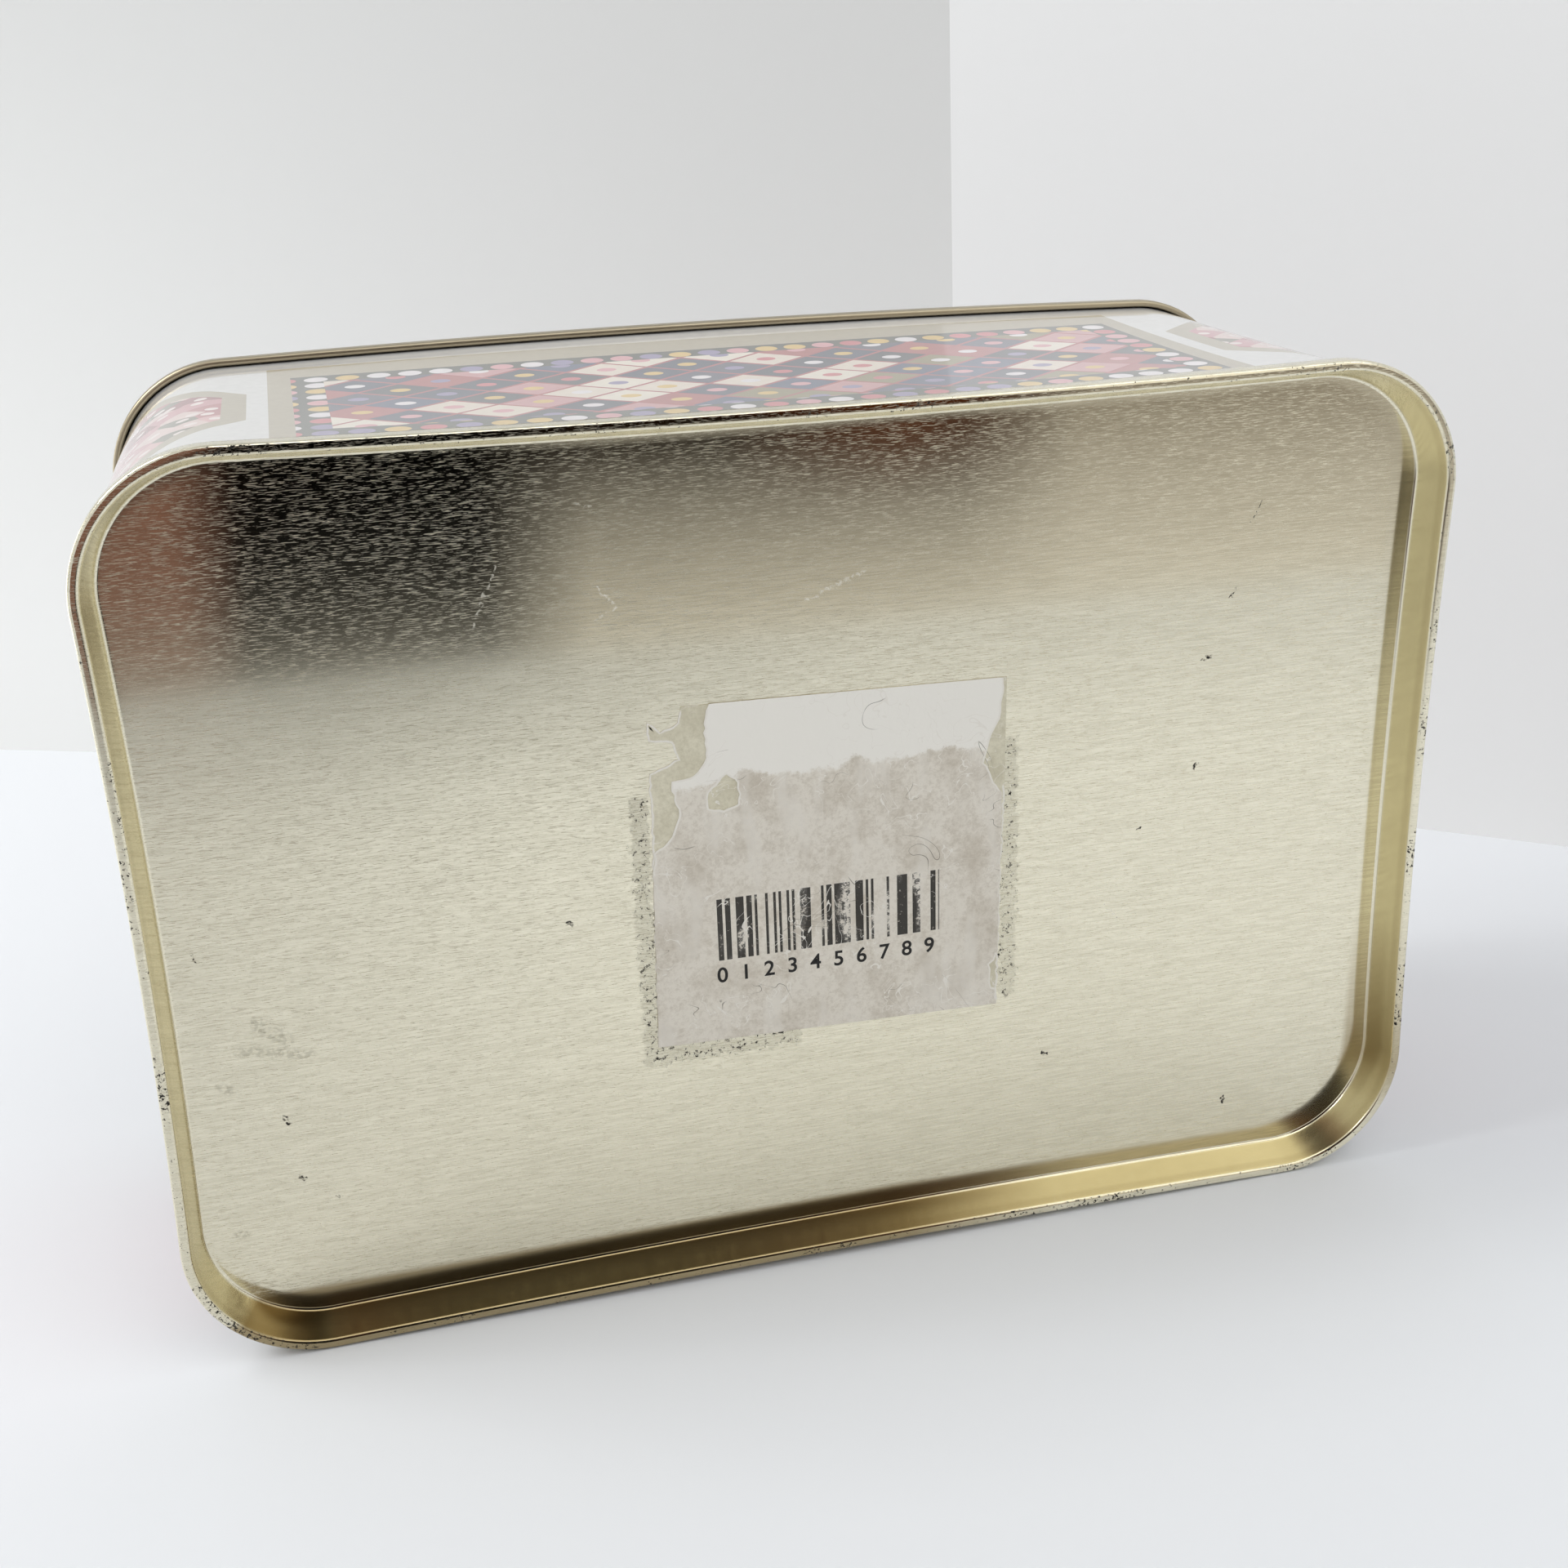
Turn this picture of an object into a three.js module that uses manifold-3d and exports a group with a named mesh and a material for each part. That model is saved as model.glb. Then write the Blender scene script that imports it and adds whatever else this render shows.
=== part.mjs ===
// A seamed tinplate box with a lift-off lid, in millimetres, with +Z up.
// Its origin is the middle of the rim it stands on, and its printed front faces -Y.
import * as THREE from "three";
import { mergeVertices } from "three/addons/utils/BufferGeometryUtils.js";
import Module from "manifold-3d";

const wasm = await Module();
wasm.setup();

// Tinplate, and the gap that its folded layers keep
const sheet_thick = 0.25;
const fold_gap = 0.04;

// Bottom rim, over the outer face of its double seam
const base_long = 171;
const base_wide = 117.6;
const base_corner = 17.1;
const base_side_draw = 0.77; // how far each side draws in at its middle

// What the wall's outline gains or loses on its way up to the lid's edge
const ends_lean_in = 0.9;
const fronts_lean_out = 1.3;
const corner_tighten = 0.6;
const top_long_swell = 0.9; // how far a long side swells at its middle
const top_short_swell = 0.3;
const lean_power = 2; // the wall starts upright and leans more as it rises

// Double seam and sunk bottom
const seam_high = 3;
const seam_rest_flat = 0.4; // flat ring that the box stands on
const hook_end_clear = 0.15;
const recess_deep = 5.5;
const chuck_draft = 1; // how far the recess wall leans inward
const panel_fillet = 0.6;

// Body wall and its rolled top edge
const body_high = 68.2;
const wall_draw = 0.2; // the wall draws in just above the seam
const wall_draw_high = 3;
const roll_radius = 0.85;
const roll_turn_deg = 250;
const weld_lap_wide = 4;
const weld_lap_bite = 0.1; // how deep the lap is sunk in the wall it is welded to
const weld_end_clear = 2;

// Lid
const lid_clear = 0.2; // round the body's wall
const lid_seat_gap = 0.5; // above the height where the shoulder would meet the rolled edge
const lid_skirt_high = 5.25;
const lid_shoulder_radius = 5;
const lid_curl_deep = 0.95;
const lid_curl_high = 2.2;
const lid_border_wide = 5;
const lid_step_wide = 2;
const lid_panel_rise = 1;

// Paper sticker on the sunk bottom, drawn as it lies, with the front edge at low Y
const label_side = 47.4;
const label_shift_x = 1.2;
const label_shift_y = 2.3;
const ply_thick = 0.1;
const lower_ply_shares = [
  [-0.39, -0.504], [0.516, -0.487], [0.513, -0.17], [0.505, 0.07], [0.495, 0.508],
  [-0.505, 0.483], [-0.495, 0.13], [-0.484, -0.327], [-0.405, -0.36], [-0.42, -0.41],
  [-0.484, -0.416], [-0.481, -0.47], [-0.45, -0.44], [-0.4, -0.458],
];
const upper_ply_shares = [
  [-0.316, -0.504], [0.508, -0.486], [0.497, -0.37], [0.464, -0.304], [0.452, -0.247],
  [0.481, -0.186], [0.505, -0.15], [0.495, 0.35], [0.474, 0.378], [0.476, 0.451],
  [0.495, 0.46], [0.494, 0.507], [-0.504, 0.482], [-0.49, -0.044], [-0.484, -0.101],
  [-0.437, -0.141], [-0.41, -0.203], [-0.426, -0.274], [-0.428, -0.3], [-0.367, -0.308],
  [-0.331, -0.352], [-0.333, -0.423], [-0.327, -0.485],
];
const torn_hole_shares = [
  [-0.278, -0.3], [-0.247, -0.274], [-0.247, -0.212], [-0.287, -0.198], [-0.331, -0.207],
  [-0.327, -0.255],
];

// How finely rings and bends are faceted
const corner_steps = 8;
const long_side_steps = 6;
const short_side_steps = 4;
const fold_steps = 4;
const shoulder_steps = 6;
const panel_step_steps = 4;
const wall_steps = 6;
const least_corner = 1; // a ring set far in keeps at least this corner radius

// Layers of the double seam, from its outer face inward, at the middle of each sheet
const half_sheet = sheet_thick / 2;
const layer_pitch = sheet_thick + fold_gap;
const seam_wall_in = half_sheet;
const body_hook_in = seam_wall_in + layer_pitch;
const cover_hook_in = body_hook_in + layer_pitch;
const body_wall_in = cover_hook_in + layer_pitch;
const chuck_wall_in = body_wall_in + layer_pitch;
const fold_top_level = seam_high - layer_pitch - half_sheet;
const body_fold_level = sheet_thick + fold_gap + layer_pitch + half_sheet;

// The lid's shoulder nests over the body's rolled edge
const roll_outer = roll_radius + half_sheet;
const nest_room = lid_shoulder_radius - half_sheet - roll_outer;
const nest_rise = Math.sqrt(nest_room ** 2 - (nest_room - lid_clear) ** 2);
const shoulder_level = body_high - roll_outer - nest_rise + lid_seat_gap;
const lid_edge_level = shoulder_level - lid_skirt_high;
const lean_top_level = lid_edge_level + lid_curl_high / 2;
const skirt_in = lid_curl_deep - half_sheet;
const top_wall_in = lid_curl_deep + lid_clear + half_sheet;

const mix = THREE.MathUtils.lerp;

// How much of the wall's lean is reached at a height
function leanShare(level) {
  const rise = (level - seam_high) / (lean_top_level - seam_high);
  return THREE.MathUtils.clamp(rise, 0, 1) ** lean_power;
}

// Rounded-rectangle outline of the box at a height
function outlineAt(level) {
  const share = leanShare(level);
  return {
    halfLong: base_long / 2 - ends_lean_in * share,
    halfWide: base_wide / 2 + fronts_lean_out * share,
    corner: base_corner - corner_tighten * share,
    longSwell: mix(-base_side_draw, top_long_swell, share),
    shortSwell: mix(-base_side_draw, top_short_swell, share),
  };
}

// One station for each corner of a ring: the way it faces, and how far along its side it lies
function ringStations() {
  const stations = [];
  for (let quarter = 0; quarter < 4; quarter++) {
    const start = (quarter * Math.PI) / 2;
    for (let step = 0; step <= corner_steps; step++) {
      const angle = start + (step / corner_steps) * (Math.PI / 2);
      const middle = start + Math.PI / 4;
      stations.push({
        facing: [Math.cos(angle), Math.sin(angle)],
        corner: [Math.sign(Math.cos(middle)), Math.sign(Math.sin(middle))],
      });
    }
    const onLongSide = quarter % 2 === 0;
    const steps = onLongSide ? long_side_steps : short_side_steps;
    const heading = quarter < 2 ? 1 : -1;
    const sign = onLongSide ? heading : -heading;
    for (let step = 1; step < steps; step++) {
      const along = heading * (1 - (2 * step) / steps);
      stations.push({ side: onLongSide ? "long" : "short", sign, along });
    }
  }
  return stations;
}

const stations = ringStations();

// The ring's point at a station, set in from the outline at a height
function ringPoint(station, inset, level) {
  const { halfLong, halfWide, corner, longSwell, shortSwell } = outlineAt(level);
  const radius = Math.max(corner - inset, least_corner);
  const centreX = halfLong - inset - radius;
  const centreY = halfWide - inset - radius;
  if (station.side === "long") {
    const swell = longSwell * (1 - station.along ** 2);
    return [station.along * centreX, station.sign * (halfWide - inset + swell), level];
  }
  if (station.side === "short") {
    const swell = shortSwell * (1 - station.along ** 2);
    return [station.sign * (halfLong - inset + swell), station.along * centreY, level];
  }
  return [
    station.corner[0] * centreX + station.facing[0] * radius,
    station.corner[1] * centreY + station.facing[1] * radius,
    level,
  ];
}

// Points of an arc in a section; inset grows to the right and level upward
function arc(centre, radius, startDeg, endDeg, steps) {
  const curve = new THREE.EllipseCurve(
    centre[0], centre[1], radius, radius,
    THREE.MathUtils.degToRad(startDeg), THREE.MathUtils.degToRad(endDeg), endDeg < startDeg,
  );
  return curve.getPoints(steps).map((point) => [point.x, point.y]);
}

// One face of a sheet whose middle follows a line
function sheetFace(midline, offset) {
  const leaving = (index) => {
    const from = midline[Math.max(index, 0)];
    const to = midline[Math.min(index + 1, midline.length - 1)];
    return new THREE.Vector2(to[0] - from[0], to[1] - from[1]).normalize();
  };
  return midline.map((point, index) => {
    const before = index > 0 ? leaving(index - 1) : leaving(index);
    const after = index < midline.length - 1 ? leaving(index) : before;
    const across = new THREE.Vector2(-before.y - after.y, before.x + after.x).normalize();
    const reach = offset / across.dot(new THREE.Vector2(-before.y, before.x));
    return [point[0] + across.x * reach, point[1] + across.y * reach];
  });
}

// A sheet swept round the box along its outline; flatCentre closes its last ring with a panel
function sweptSheet(midline, flatCentre) {
  const near = sheetFace(midline, half_sheet);
  const far = sheetFace(midline, -half_sheet).reverse();
  const section = [...near, ...far];
  const positions = [];
  for (const [inset, level] of section) {
    for (const station of stations) positions.push(...ringPoint(station, inset, level));
  }
  const count = stations.length;
  const indices = [];
  section.forEach((point, row) => {
    if (flatCentre && row === near.length - 1) return;
    const start = row * count;
    const nextStart = ((row + 1) % section.length) * count;
    for (let place = 0; place < count; place++) {
      const turn = (place + 1) % count;
      indices.push(start + place, nextStart + turn, nextStart + place);
      indices.push(start + place, start + turn, nextStart + turn);
    }
  });
  if (flatCentre) {
    for (const row of [near.length - 1, near.length]) {
      const hub = positions.length / 3;
      positions.push(0, 0, section[row][1]);
      for (let place = 0; place < count; place++) {
        const rim = [row * count + place, row * count + ((place + 1) % count)];
        if (row === near.length) rim.reverse();
        indices.push(hub, rim[0], rim[1]);
      }
    }
  }
  const geometry = new THREE.BufferGeometry();
  geometry.setAttribute("position", new THREE.Float32BufferAttribute(positions, 3));
  geometry.setIndex(indices);
  return geometry;
}

// A closed mesh as a solid that booleans can use, and back
function solidOf(geometry) {
  const bare = geometry.clone();
  bare.deleteAttribute("normal");
  bare.deleteAttribute("uv");
  const merged = mergeVertices(bare);
  const mesh = new wasm.Mesh({
    numProp: 3,
    vertProperties: new Float32Array(merged.attributes.position.array),
    triVerts: new Uint32Array(merged.index.array),
  });
  return new wasm.Manifold(mesh);
}

function geometryOf(solid) {
  const mesh = solid.getMesh();
  const geometry = new THREE.BufferGeometry();
  geometry.setAttribute("position", new THREE.BufferAttribute(mesh.vertProperties, 3));
  geometry.setIndex(new THREE.BufferAttribute(mesh.triVerts, 1));
  return geometry;
}

// The bottom: cover hook, seam wall, seaming fold, recess wall and sunk panel, in one sheet
function bottomEnd() {
  const turnRadius = 2 * layer_pitch - seam_rest_flat / 2;
  const turnLevel = half_sheet + turnRadius;
  const panelLevel = recess_deep + half_sheet;
  const recessIn = chuck_wall_in + chuck_draft;
  const midline = [
    [cover_hook_in, body_fold_level + hook_end_clear],
    ...arc([body_hook_in, fold_top_level], layer_pitch, 0, 180, fold_steps),
    ...arc([seam_wall_in + turnRadius, turnLevel], turnRadius, 180, 270, fold_steps),
    ...arc([chuck_wall_in - turnRadius, turnLevel], turnRadius, 270, 360, fold_steps),
    ...arc([recessIn + panel_fillet, panelLevel - panel_fillet], panel_fillet, 180, 90, fold_steps),
  ];
  return sweptSheet(midline, true);
}

// How far in the body's wall lies at a height, at the middle of its sheet
function bodyWallIn(level) {
  const drawn = THREE.MathUtils.clamp((level - seam_high) / wall_draw_high, 0, 1) * wall_draw;
  return mix(body_wall_in + drawn, top_wall_in, leanShare(level));
}

// The overlap of the sheet's two ends inside the rear wall, where the body is welded to a tube
function weldLap() {
  const low = seam_high + weld_end_clear;
  const high = body_high - 2 * roll_outer - weld_end_clear;
  const positions = [];
  for (let step = 0; step <= wall_steps; step++) {
    const level = mix(low, high, step / wall_steps);
    const { halfLong, corner } = outlineAt(level);
    const wallFace = bodyWallIn(level) + half_sheet;
    const outer = wallFace - weld_lap_bite;
    const inner = wallFace + sheet_thick;
    for (const [side, inset] of [[-1, outer], [1, outer], [1, inner], [-1, inner]]) {
      const along = (side * weld_lap_wide) / 2 / (halfLong - corner);
      positions.push(...ringPoint({ side: "long", sign: 1, along }, inset, level));
    }
  }
  const top = wall_steps * 4;
  const indices = [0, 1, 2, 0, 2, 3, top, top + 2, top + 1, top, top + 3, top + 2];
  for (let row = 0; row < top; row += 4) {
    for (let edge = 0; edge < 4; edge++) {
      const here = row + edge;
      const turn = row + ((edge + 1) % 4);
      indices.push(here, here + 4, turn + 4, here, turn + 4, turn);
    }
  }
  const geometry = new THREE.BufferGeometry();
  geometry.setAttribute("position", new THREE.Float32BufferAttribute(positions, 3));
  geometry.setIndex(indices);
  return geometry;
}

// The body: hook, fold, wall and rolled top edge, in one sheet with its weld lap
function bodyShell() {
  const rollCentre = [top_wall_in + roll_radius, body_high - roll_outer];
  const wall = [];
  const drawnLevel = seam_high + wall_draw_high;
  for (let step = 0; step <= wall_steps; step++) {
    const level = mix(drawnLevel, lean_top_level, step / wall_steps);
    wall.push([bodyWallIn(level), level]);
  }
  const midline = [
    [body_hook_in, fold_top_level - hook_end_clear],
    ...arc([cover_hook_in, body_fold_level], layer_pitch, 180, 360, fold_steps),
    [body_wall_in, seam_high],
    ...wall,
    ...arc(rollCentre, roll_radius, 180, 180 - roll_turn_deg, 2 * fold_steps),
  ];
  return geometryOf(solidOf(sweptSheet(midline, false)).add(solidOf(weldLap())));
}

// The lid: outward curl, skirt, shoulder, border, step and raised panel, in one pressed sheet
function lidShell() {
  const curlRadius = (lid_curl_deep - sheet_thick) / 2;
  const curlMiddle = lid_curl_deep / 2;
  const curlTop = lid_edge_level + lid_curl_high - half_sheet - curlRadius;
  const curlFoot = lid_edge_level + half_sheet + curlRadius;
  const topLevel = shoulder_level + lid_shoulder_radius;
  const borderIn = skirt_in + lid_shoulder_radius + lid_border_wide;
  const shoulderCentre = [skirt_in + lid_shoulder_radius, shoulder_level];
  const midline = [
    ...arc([curlMiddle, curlTop], curlRadius, 90, 180, fold_steps / 2),
    ...arc([curlMiddle, curlFoot], curlRadius, 180, 360, fold_steps),
    ...arc(shoulderCentre, lid_shoulder_radius, 180, 90, shoulder_steps),
  ];
  for (let step = 0; step <= panel_step_steps; step++) {
    const share = step / panel_step_steps;
    const rise = lid_panel_rise * THREE.MathUtils.smoothstep(share, 0, 1);
    midline.push([borderIn + lid_step_wide * share, topLevel + rise]);
  }
  return sweptSheet(midline, true);
}

// A layer of the sticker, cut along an outline of shares of its side
function paperPly(shares, topLevel, holeShares) {
  const place = ([shareX, shareY]) =>
    new THREE.Vector2(label_shift_x + shareX * label_side, label_shift_y + shareY * label_side);
  const shape = new THREE.Shape(shares.map(place));
  if (holeShares) shape.holes.push(new THREE.Path(holeShares.map(place)));
  const ply = new THREE.ExtrudeGeometry(shape, { depth: ply_thick, bevelEnabled: false });
  return ply.translate(0, 0, topLevel - ply_thick);
}

// Finishes
const printed_white = new THREE.MeshStandardMaterial({ color: 0xdedcd6, roughness: 0.25 });
const gold_lacquer = new THREE.MeshStandardMaterial({ color: 0xc6bf9f, roughness: 0.35, metalness: 0.9 });
const stained_paper = new THREE.MeshStandardMaterial({ color: 0xa9a391, roughness: 0.9 });
const white_paper = new THREE.MeshStandardMaterial({ color: 0xd6d0cb, roughness: 0.8 });

// A named piece of the box
function piece(name, geometry, material) {
  const mesh = new THREE.Mesh(geometry, material);
  mesh.name = name;
  return mesh;
}

const box = new THREE.Group();
box.add(piece("bottom_end", bottomEnd(), gold_lacquer));
box.add(piece("body_shell", bodyShell(), printed_white));
box.add(piece("lid", lidShell(), printed_white.clone()));
const lower_ply = paperPly(lower_ply_shares, recess_deep);
const upper_ply = paperPly(upper_ply_shares, recess_deep - ply_thick, torn_hole_shares);
box.add(piece("label_lower_ply", lower_ply, stained_paper));
box.add(piece("label_upper_ply", upper_ply, white_paper));

export default box;
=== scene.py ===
"""Looks of a seamed tinplate box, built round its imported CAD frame.

Lengths in the classes are millimetres, as in the part's source, and become metres where a
mesh or a node takes them. The box lies on its rear side, so the studio's up is -Y.
"""

from __future__ import annotations

import logging
import math
import random
import sys
from dataclasses import dataclass
from enum import Enum, IntEnum
from functools import cached_property, partial, reduce
from itertools import accumulate

import bmesh
import bpy
from mathutils import Matrix, Vector


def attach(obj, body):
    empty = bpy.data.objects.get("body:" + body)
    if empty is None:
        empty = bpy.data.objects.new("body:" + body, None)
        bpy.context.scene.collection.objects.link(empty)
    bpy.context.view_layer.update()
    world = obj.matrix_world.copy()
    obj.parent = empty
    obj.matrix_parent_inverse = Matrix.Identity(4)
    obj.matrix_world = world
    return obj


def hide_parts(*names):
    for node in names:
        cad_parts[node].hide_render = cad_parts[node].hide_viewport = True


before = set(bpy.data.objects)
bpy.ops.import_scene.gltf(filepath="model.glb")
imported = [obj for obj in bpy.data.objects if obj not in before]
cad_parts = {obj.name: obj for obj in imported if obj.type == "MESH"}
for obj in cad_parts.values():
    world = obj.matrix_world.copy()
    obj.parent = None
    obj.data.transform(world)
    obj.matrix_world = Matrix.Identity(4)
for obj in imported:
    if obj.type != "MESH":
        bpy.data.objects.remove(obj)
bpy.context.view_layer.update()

LOG = logging.getLogger("tin_box")
MM = 0.001

Point = tuple[float, float]
Panel = tuple[float, float, float]
Colour = tuple[float, float, float, float]
Node = bpy.types.Node
Socket = bpy.types.NodeSocket
Source = Node | Socket | Colour | Panel | float | None


def srgb(code: str) -> Colour:
    """Turns an sRGB hex value into a linear colour.

    Args:
        code: the colour, such as "#c8c0a0".

    Returns:
        The linear red, green, blue and alpha.
    """
    parts = [int(code[i : i + 2], 16) / 255 for i in (1, 3, 5)]
    line = [p / 12.92 if p <= 0.04045 else ((p + 0.055) / 1.055) ** 2.4 for p in parts]
    return (line[0], line[1], line[2], 1.0)


def mix(low: float, high: float, share: float) -> float:
    """Returns the value at a share of the way from low to high."""
    return low + (high - low) * share


def select_only(obj: bpy.types.Object | None = None) -> None:
    """Deselects everything, and then selects an object and makes it active if one is given.

    Args:
        obj: the object to work on next.
    """
    bpy.ops.object.select_all(action="DESELECT")
    if obj is not None:
        obj.select_set(True)
        bpy.context.view_layer.objects.active = obj


class NodeDesk:
    """A node tree at work, with the piece's own coordinates in millimetres."""

    def __init__(self, tree: bpy.types.NodeTree) -> None:
        """Keeps the tree that gets the nodes."""
        self.tree = tree

    @cached_property
    def place(self) -> Node:
        """The piece's own coordinates, in millimetres."""
        own = self.add("TexCoord").outputs["Object"]
        return self.add("VectorMath", own, 1 / MM, operation="SCALE")

    @cached_property
    def axes(self) -> bpy.types.bpy_prop_collection:
        """The same coordinates apart, under X, Y and Z."""
        return self.add("SeparateXYZ", self.place).outputs

    def add(self, kind: str, *inputs: Source, **settings: object) -> Node:
        """Adds a shader node with its settings and links.

        Args:
            kind: the node's type without its ShaderNode prefix.
            inputs: a value, node or socket for each socket in use, in order. None leaves one as it is.
            settings: the node's properties.

        Returns:
            The new node.
        """
        node = self.tree.nodes.new("ShaderNode" + kind)
        for name, value in settings.items():
            setattr(node, name, value)
        in_use = [number for number, socket in enumerate(node.inputs) if socket.enabled]
        self.feed(node, {number: value for number, value in zip(in_use, inputs) if value is not None})
        return node

    def feed(self, node: Node, inputs: dict[int | str, Source]) -> None:
        """Gives a node's sockets their values, and links nodes and sockets to them.

        Args:
            node: the node that gets them.
            inputs: the values, nodes and sockets, under the sockets' names or numbers.
        """
        for key, value in inputs.items():
            if isinstance(value, Node):
                value = next(out for out in value.outputs if out.enabled)
            if isinstance(value, Socket):
                self.tree.links.new(value, node.inputs[key])
            else:
                node.inputs[key].default_value = value

    def near(self, value: Source, middle: float, reach: float, soft: float = 0.2) -> Node:
        """Masks the values round a middle one.

        Args:
            value: what is looked at.
            middle: the value in the middle.
            reach: how far from it the mask has fallen to 0.
            soft: width of the mask's edge, as a share of the reach.

        Returns:
            A node that gives 1 in the middle and 0 past the reach.
        """
        off = self.add("Math", value, middle, operation="SUBTRACT")
        far = self.add("Math", off, operation="ABSOLUTE")
        return self.add("MapRange", far, reach, reach * (1 - soft))

    def wash(self, below: Source, mask: Source, share: float, code: str) -> Node:
        """Lays a thin coat of one colour on another where a mask is.

        Args:
            below: the colour under it.
            mask: where the coat lies.
            share: how much of the colour below it hides there.
            code: its sRGB hex value.

        Returns:
            A node with the mixed colour.
        """
        strength = self.add("Math", mask, share, operation="MULTIPLY")
        return self.add("Mix", strength, below, srgb(code), data_type="RGBA")


def new_material(name: str) -> tuple[bpy.types.Material, NodeDesk, Node]:
    """Makes a material whose only shader is a Principled one.

    Args:
        name: the material's name.

    Returns:
        The material, a desk on its nodes, and its shader node.
    """
    material = bpy.data.materials.new(name)
    material.use_nodes = True
    desk = NodeDesk(material.node_tree)
    return material, desk, desk.tree.nodes["Principled BSDF"]


# ---------------------------------------------------------------- outline and sheets


class Side(Enum):
    """What a place on a ring belongs to."""

    CORNER = "corner"
    LONG = "long side"
    SHORT = "short side"


@dataclass(frozen=True)
class Station:
    """One place on every ring: on a corner it faces a way, on a side it lies along it."""

    corner: Point = (0.0, 0.0)
    facing: Point = (0.0, 0.0)
    side: Side = Side.CORNER
    sign: int = 1
    along: float = 0.0


@dataclass(frozen=True)
class BoxOutline:
    """Rounded-rectangle outline of the box, which changes on its way up the wall."""

    long: float = 171.0
    wide: float = 117.6
    corner: float = 17.1
    side_draw: float = 0.77
    ends_lean_in: float = 0.9
    fronts_lean_out: float = 1.3
    corner_tighten: float = 0.6
    long_swell: float = 0.9
    short_swell: float = 0.3
    lean_start: float = 3.0
    lean_end: float = 62.34
    least_corner: float = 1.0
    corner_steps: int = 20
    long_steps: int = 44
    short_steps: int = 30

    def lean_share(self, level: float) -> float:
        """Returns how much of the wall's lean is reached at a height."""
        share = (level - self.lean_start) / (self.lean_end - self.lean_start)
        return min(max(share, 0.0), 1.0) ** 2

    def stations(self) -> list[Station]:
        """Lists the places of a ring.

        Returns:
            The places in order, from the middle of the rear side.
        """
        found: list[Station] = []
        for quarter in range(4):
            start = quarter * math.pi / 2
            middle = start + math.pi / 4
            corner = (math.copysign(1, math.cos(middle)), math.copysign(1, math.sin(middle)))
            for step in range(self.corner_steps + 1):
                turn = start + step / self.corner_steps * math.pi / 2
                found.append(Station(corner, (math.cos(turn), math.sin(turn))))
            on_long = quarter % 2 == 0
            steps = self.long_steps if on_long else self.short_steps
            heading = 1 if quarter < 2 else -1
            for step in range(1, steps):
                along = heading * (1 - 2 * step / steps)
                sign = heading if on_long else -heading
                found.append(Station(side=Side.LONG if on_long else Side.SHORT, sign=sign, along=along))
        rear = self.corner_steps + self.long_steps // 2
        return found[rear:] + found[:rear]

    def point(self, station: Station, inset: float, level: float) -> Vector:
        """Gives a ring's point.

        Args:
            station: its place on the ring.
            inset: how far it lies in from the outline, in millimetres.
            level: its height, in millimetres.

        Returns:
            The point in metres.
        """
        share = self.lean_share(level)
        half_long = self.long / 2 - self.ends_lean_in * share
        half_wide = self.wide / 2 + self.fronts_lean_out * share
        radius = max(self.corner - self.corner_tighten * share - inset, self.least_corner)
        reach_x = half_long - inset - radius
        reach_y = half_wide - inset - radius
        bow = 1 - station.along**2
        if station.side is Side.LONG:
            swell = mix(-self.side_draw, self.long_swell, share) * bow
            spot = (station.along * reach_x, station.sign * (half_wide - inset + swell), level)
        elif station.side is Side.SHORT:
            swell = mix(-self.side_draw, self.short_swell, share) * bow
            spot = (station.sign * (half_long - inset + swell), station.along * reach_y, level)
        else:
            spot = (
                station.corner[0] * reach_x + station.facing[0] * radius,
                station.corner[1] * reach_y + station.facing[1] * radius,
                level,
            )
        return Vector(spot) * MM


def arc(centre: Point, radius: float, start: float, end: float, steps: int) -> list[Point]:
    """Gives the points of an arc in a section, where inset grows rightward and level upward.

    Args:
        centre: inset and level of the arc's centre.
        radius: its radius.
        start: angle of its first point, in degrees.
        end: angle of its last point, in degrees.
        steps: how many chords it has.

    Returns:
        The points, with both ends.
    """
    turns = [math.radians(mix(start, end, step / steps)) for step in range(steps + 1)]
    return [(centre[0] + radius * math.cos(t), centre[1] + radius * math.sin(t)) for t in turns]


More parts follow.
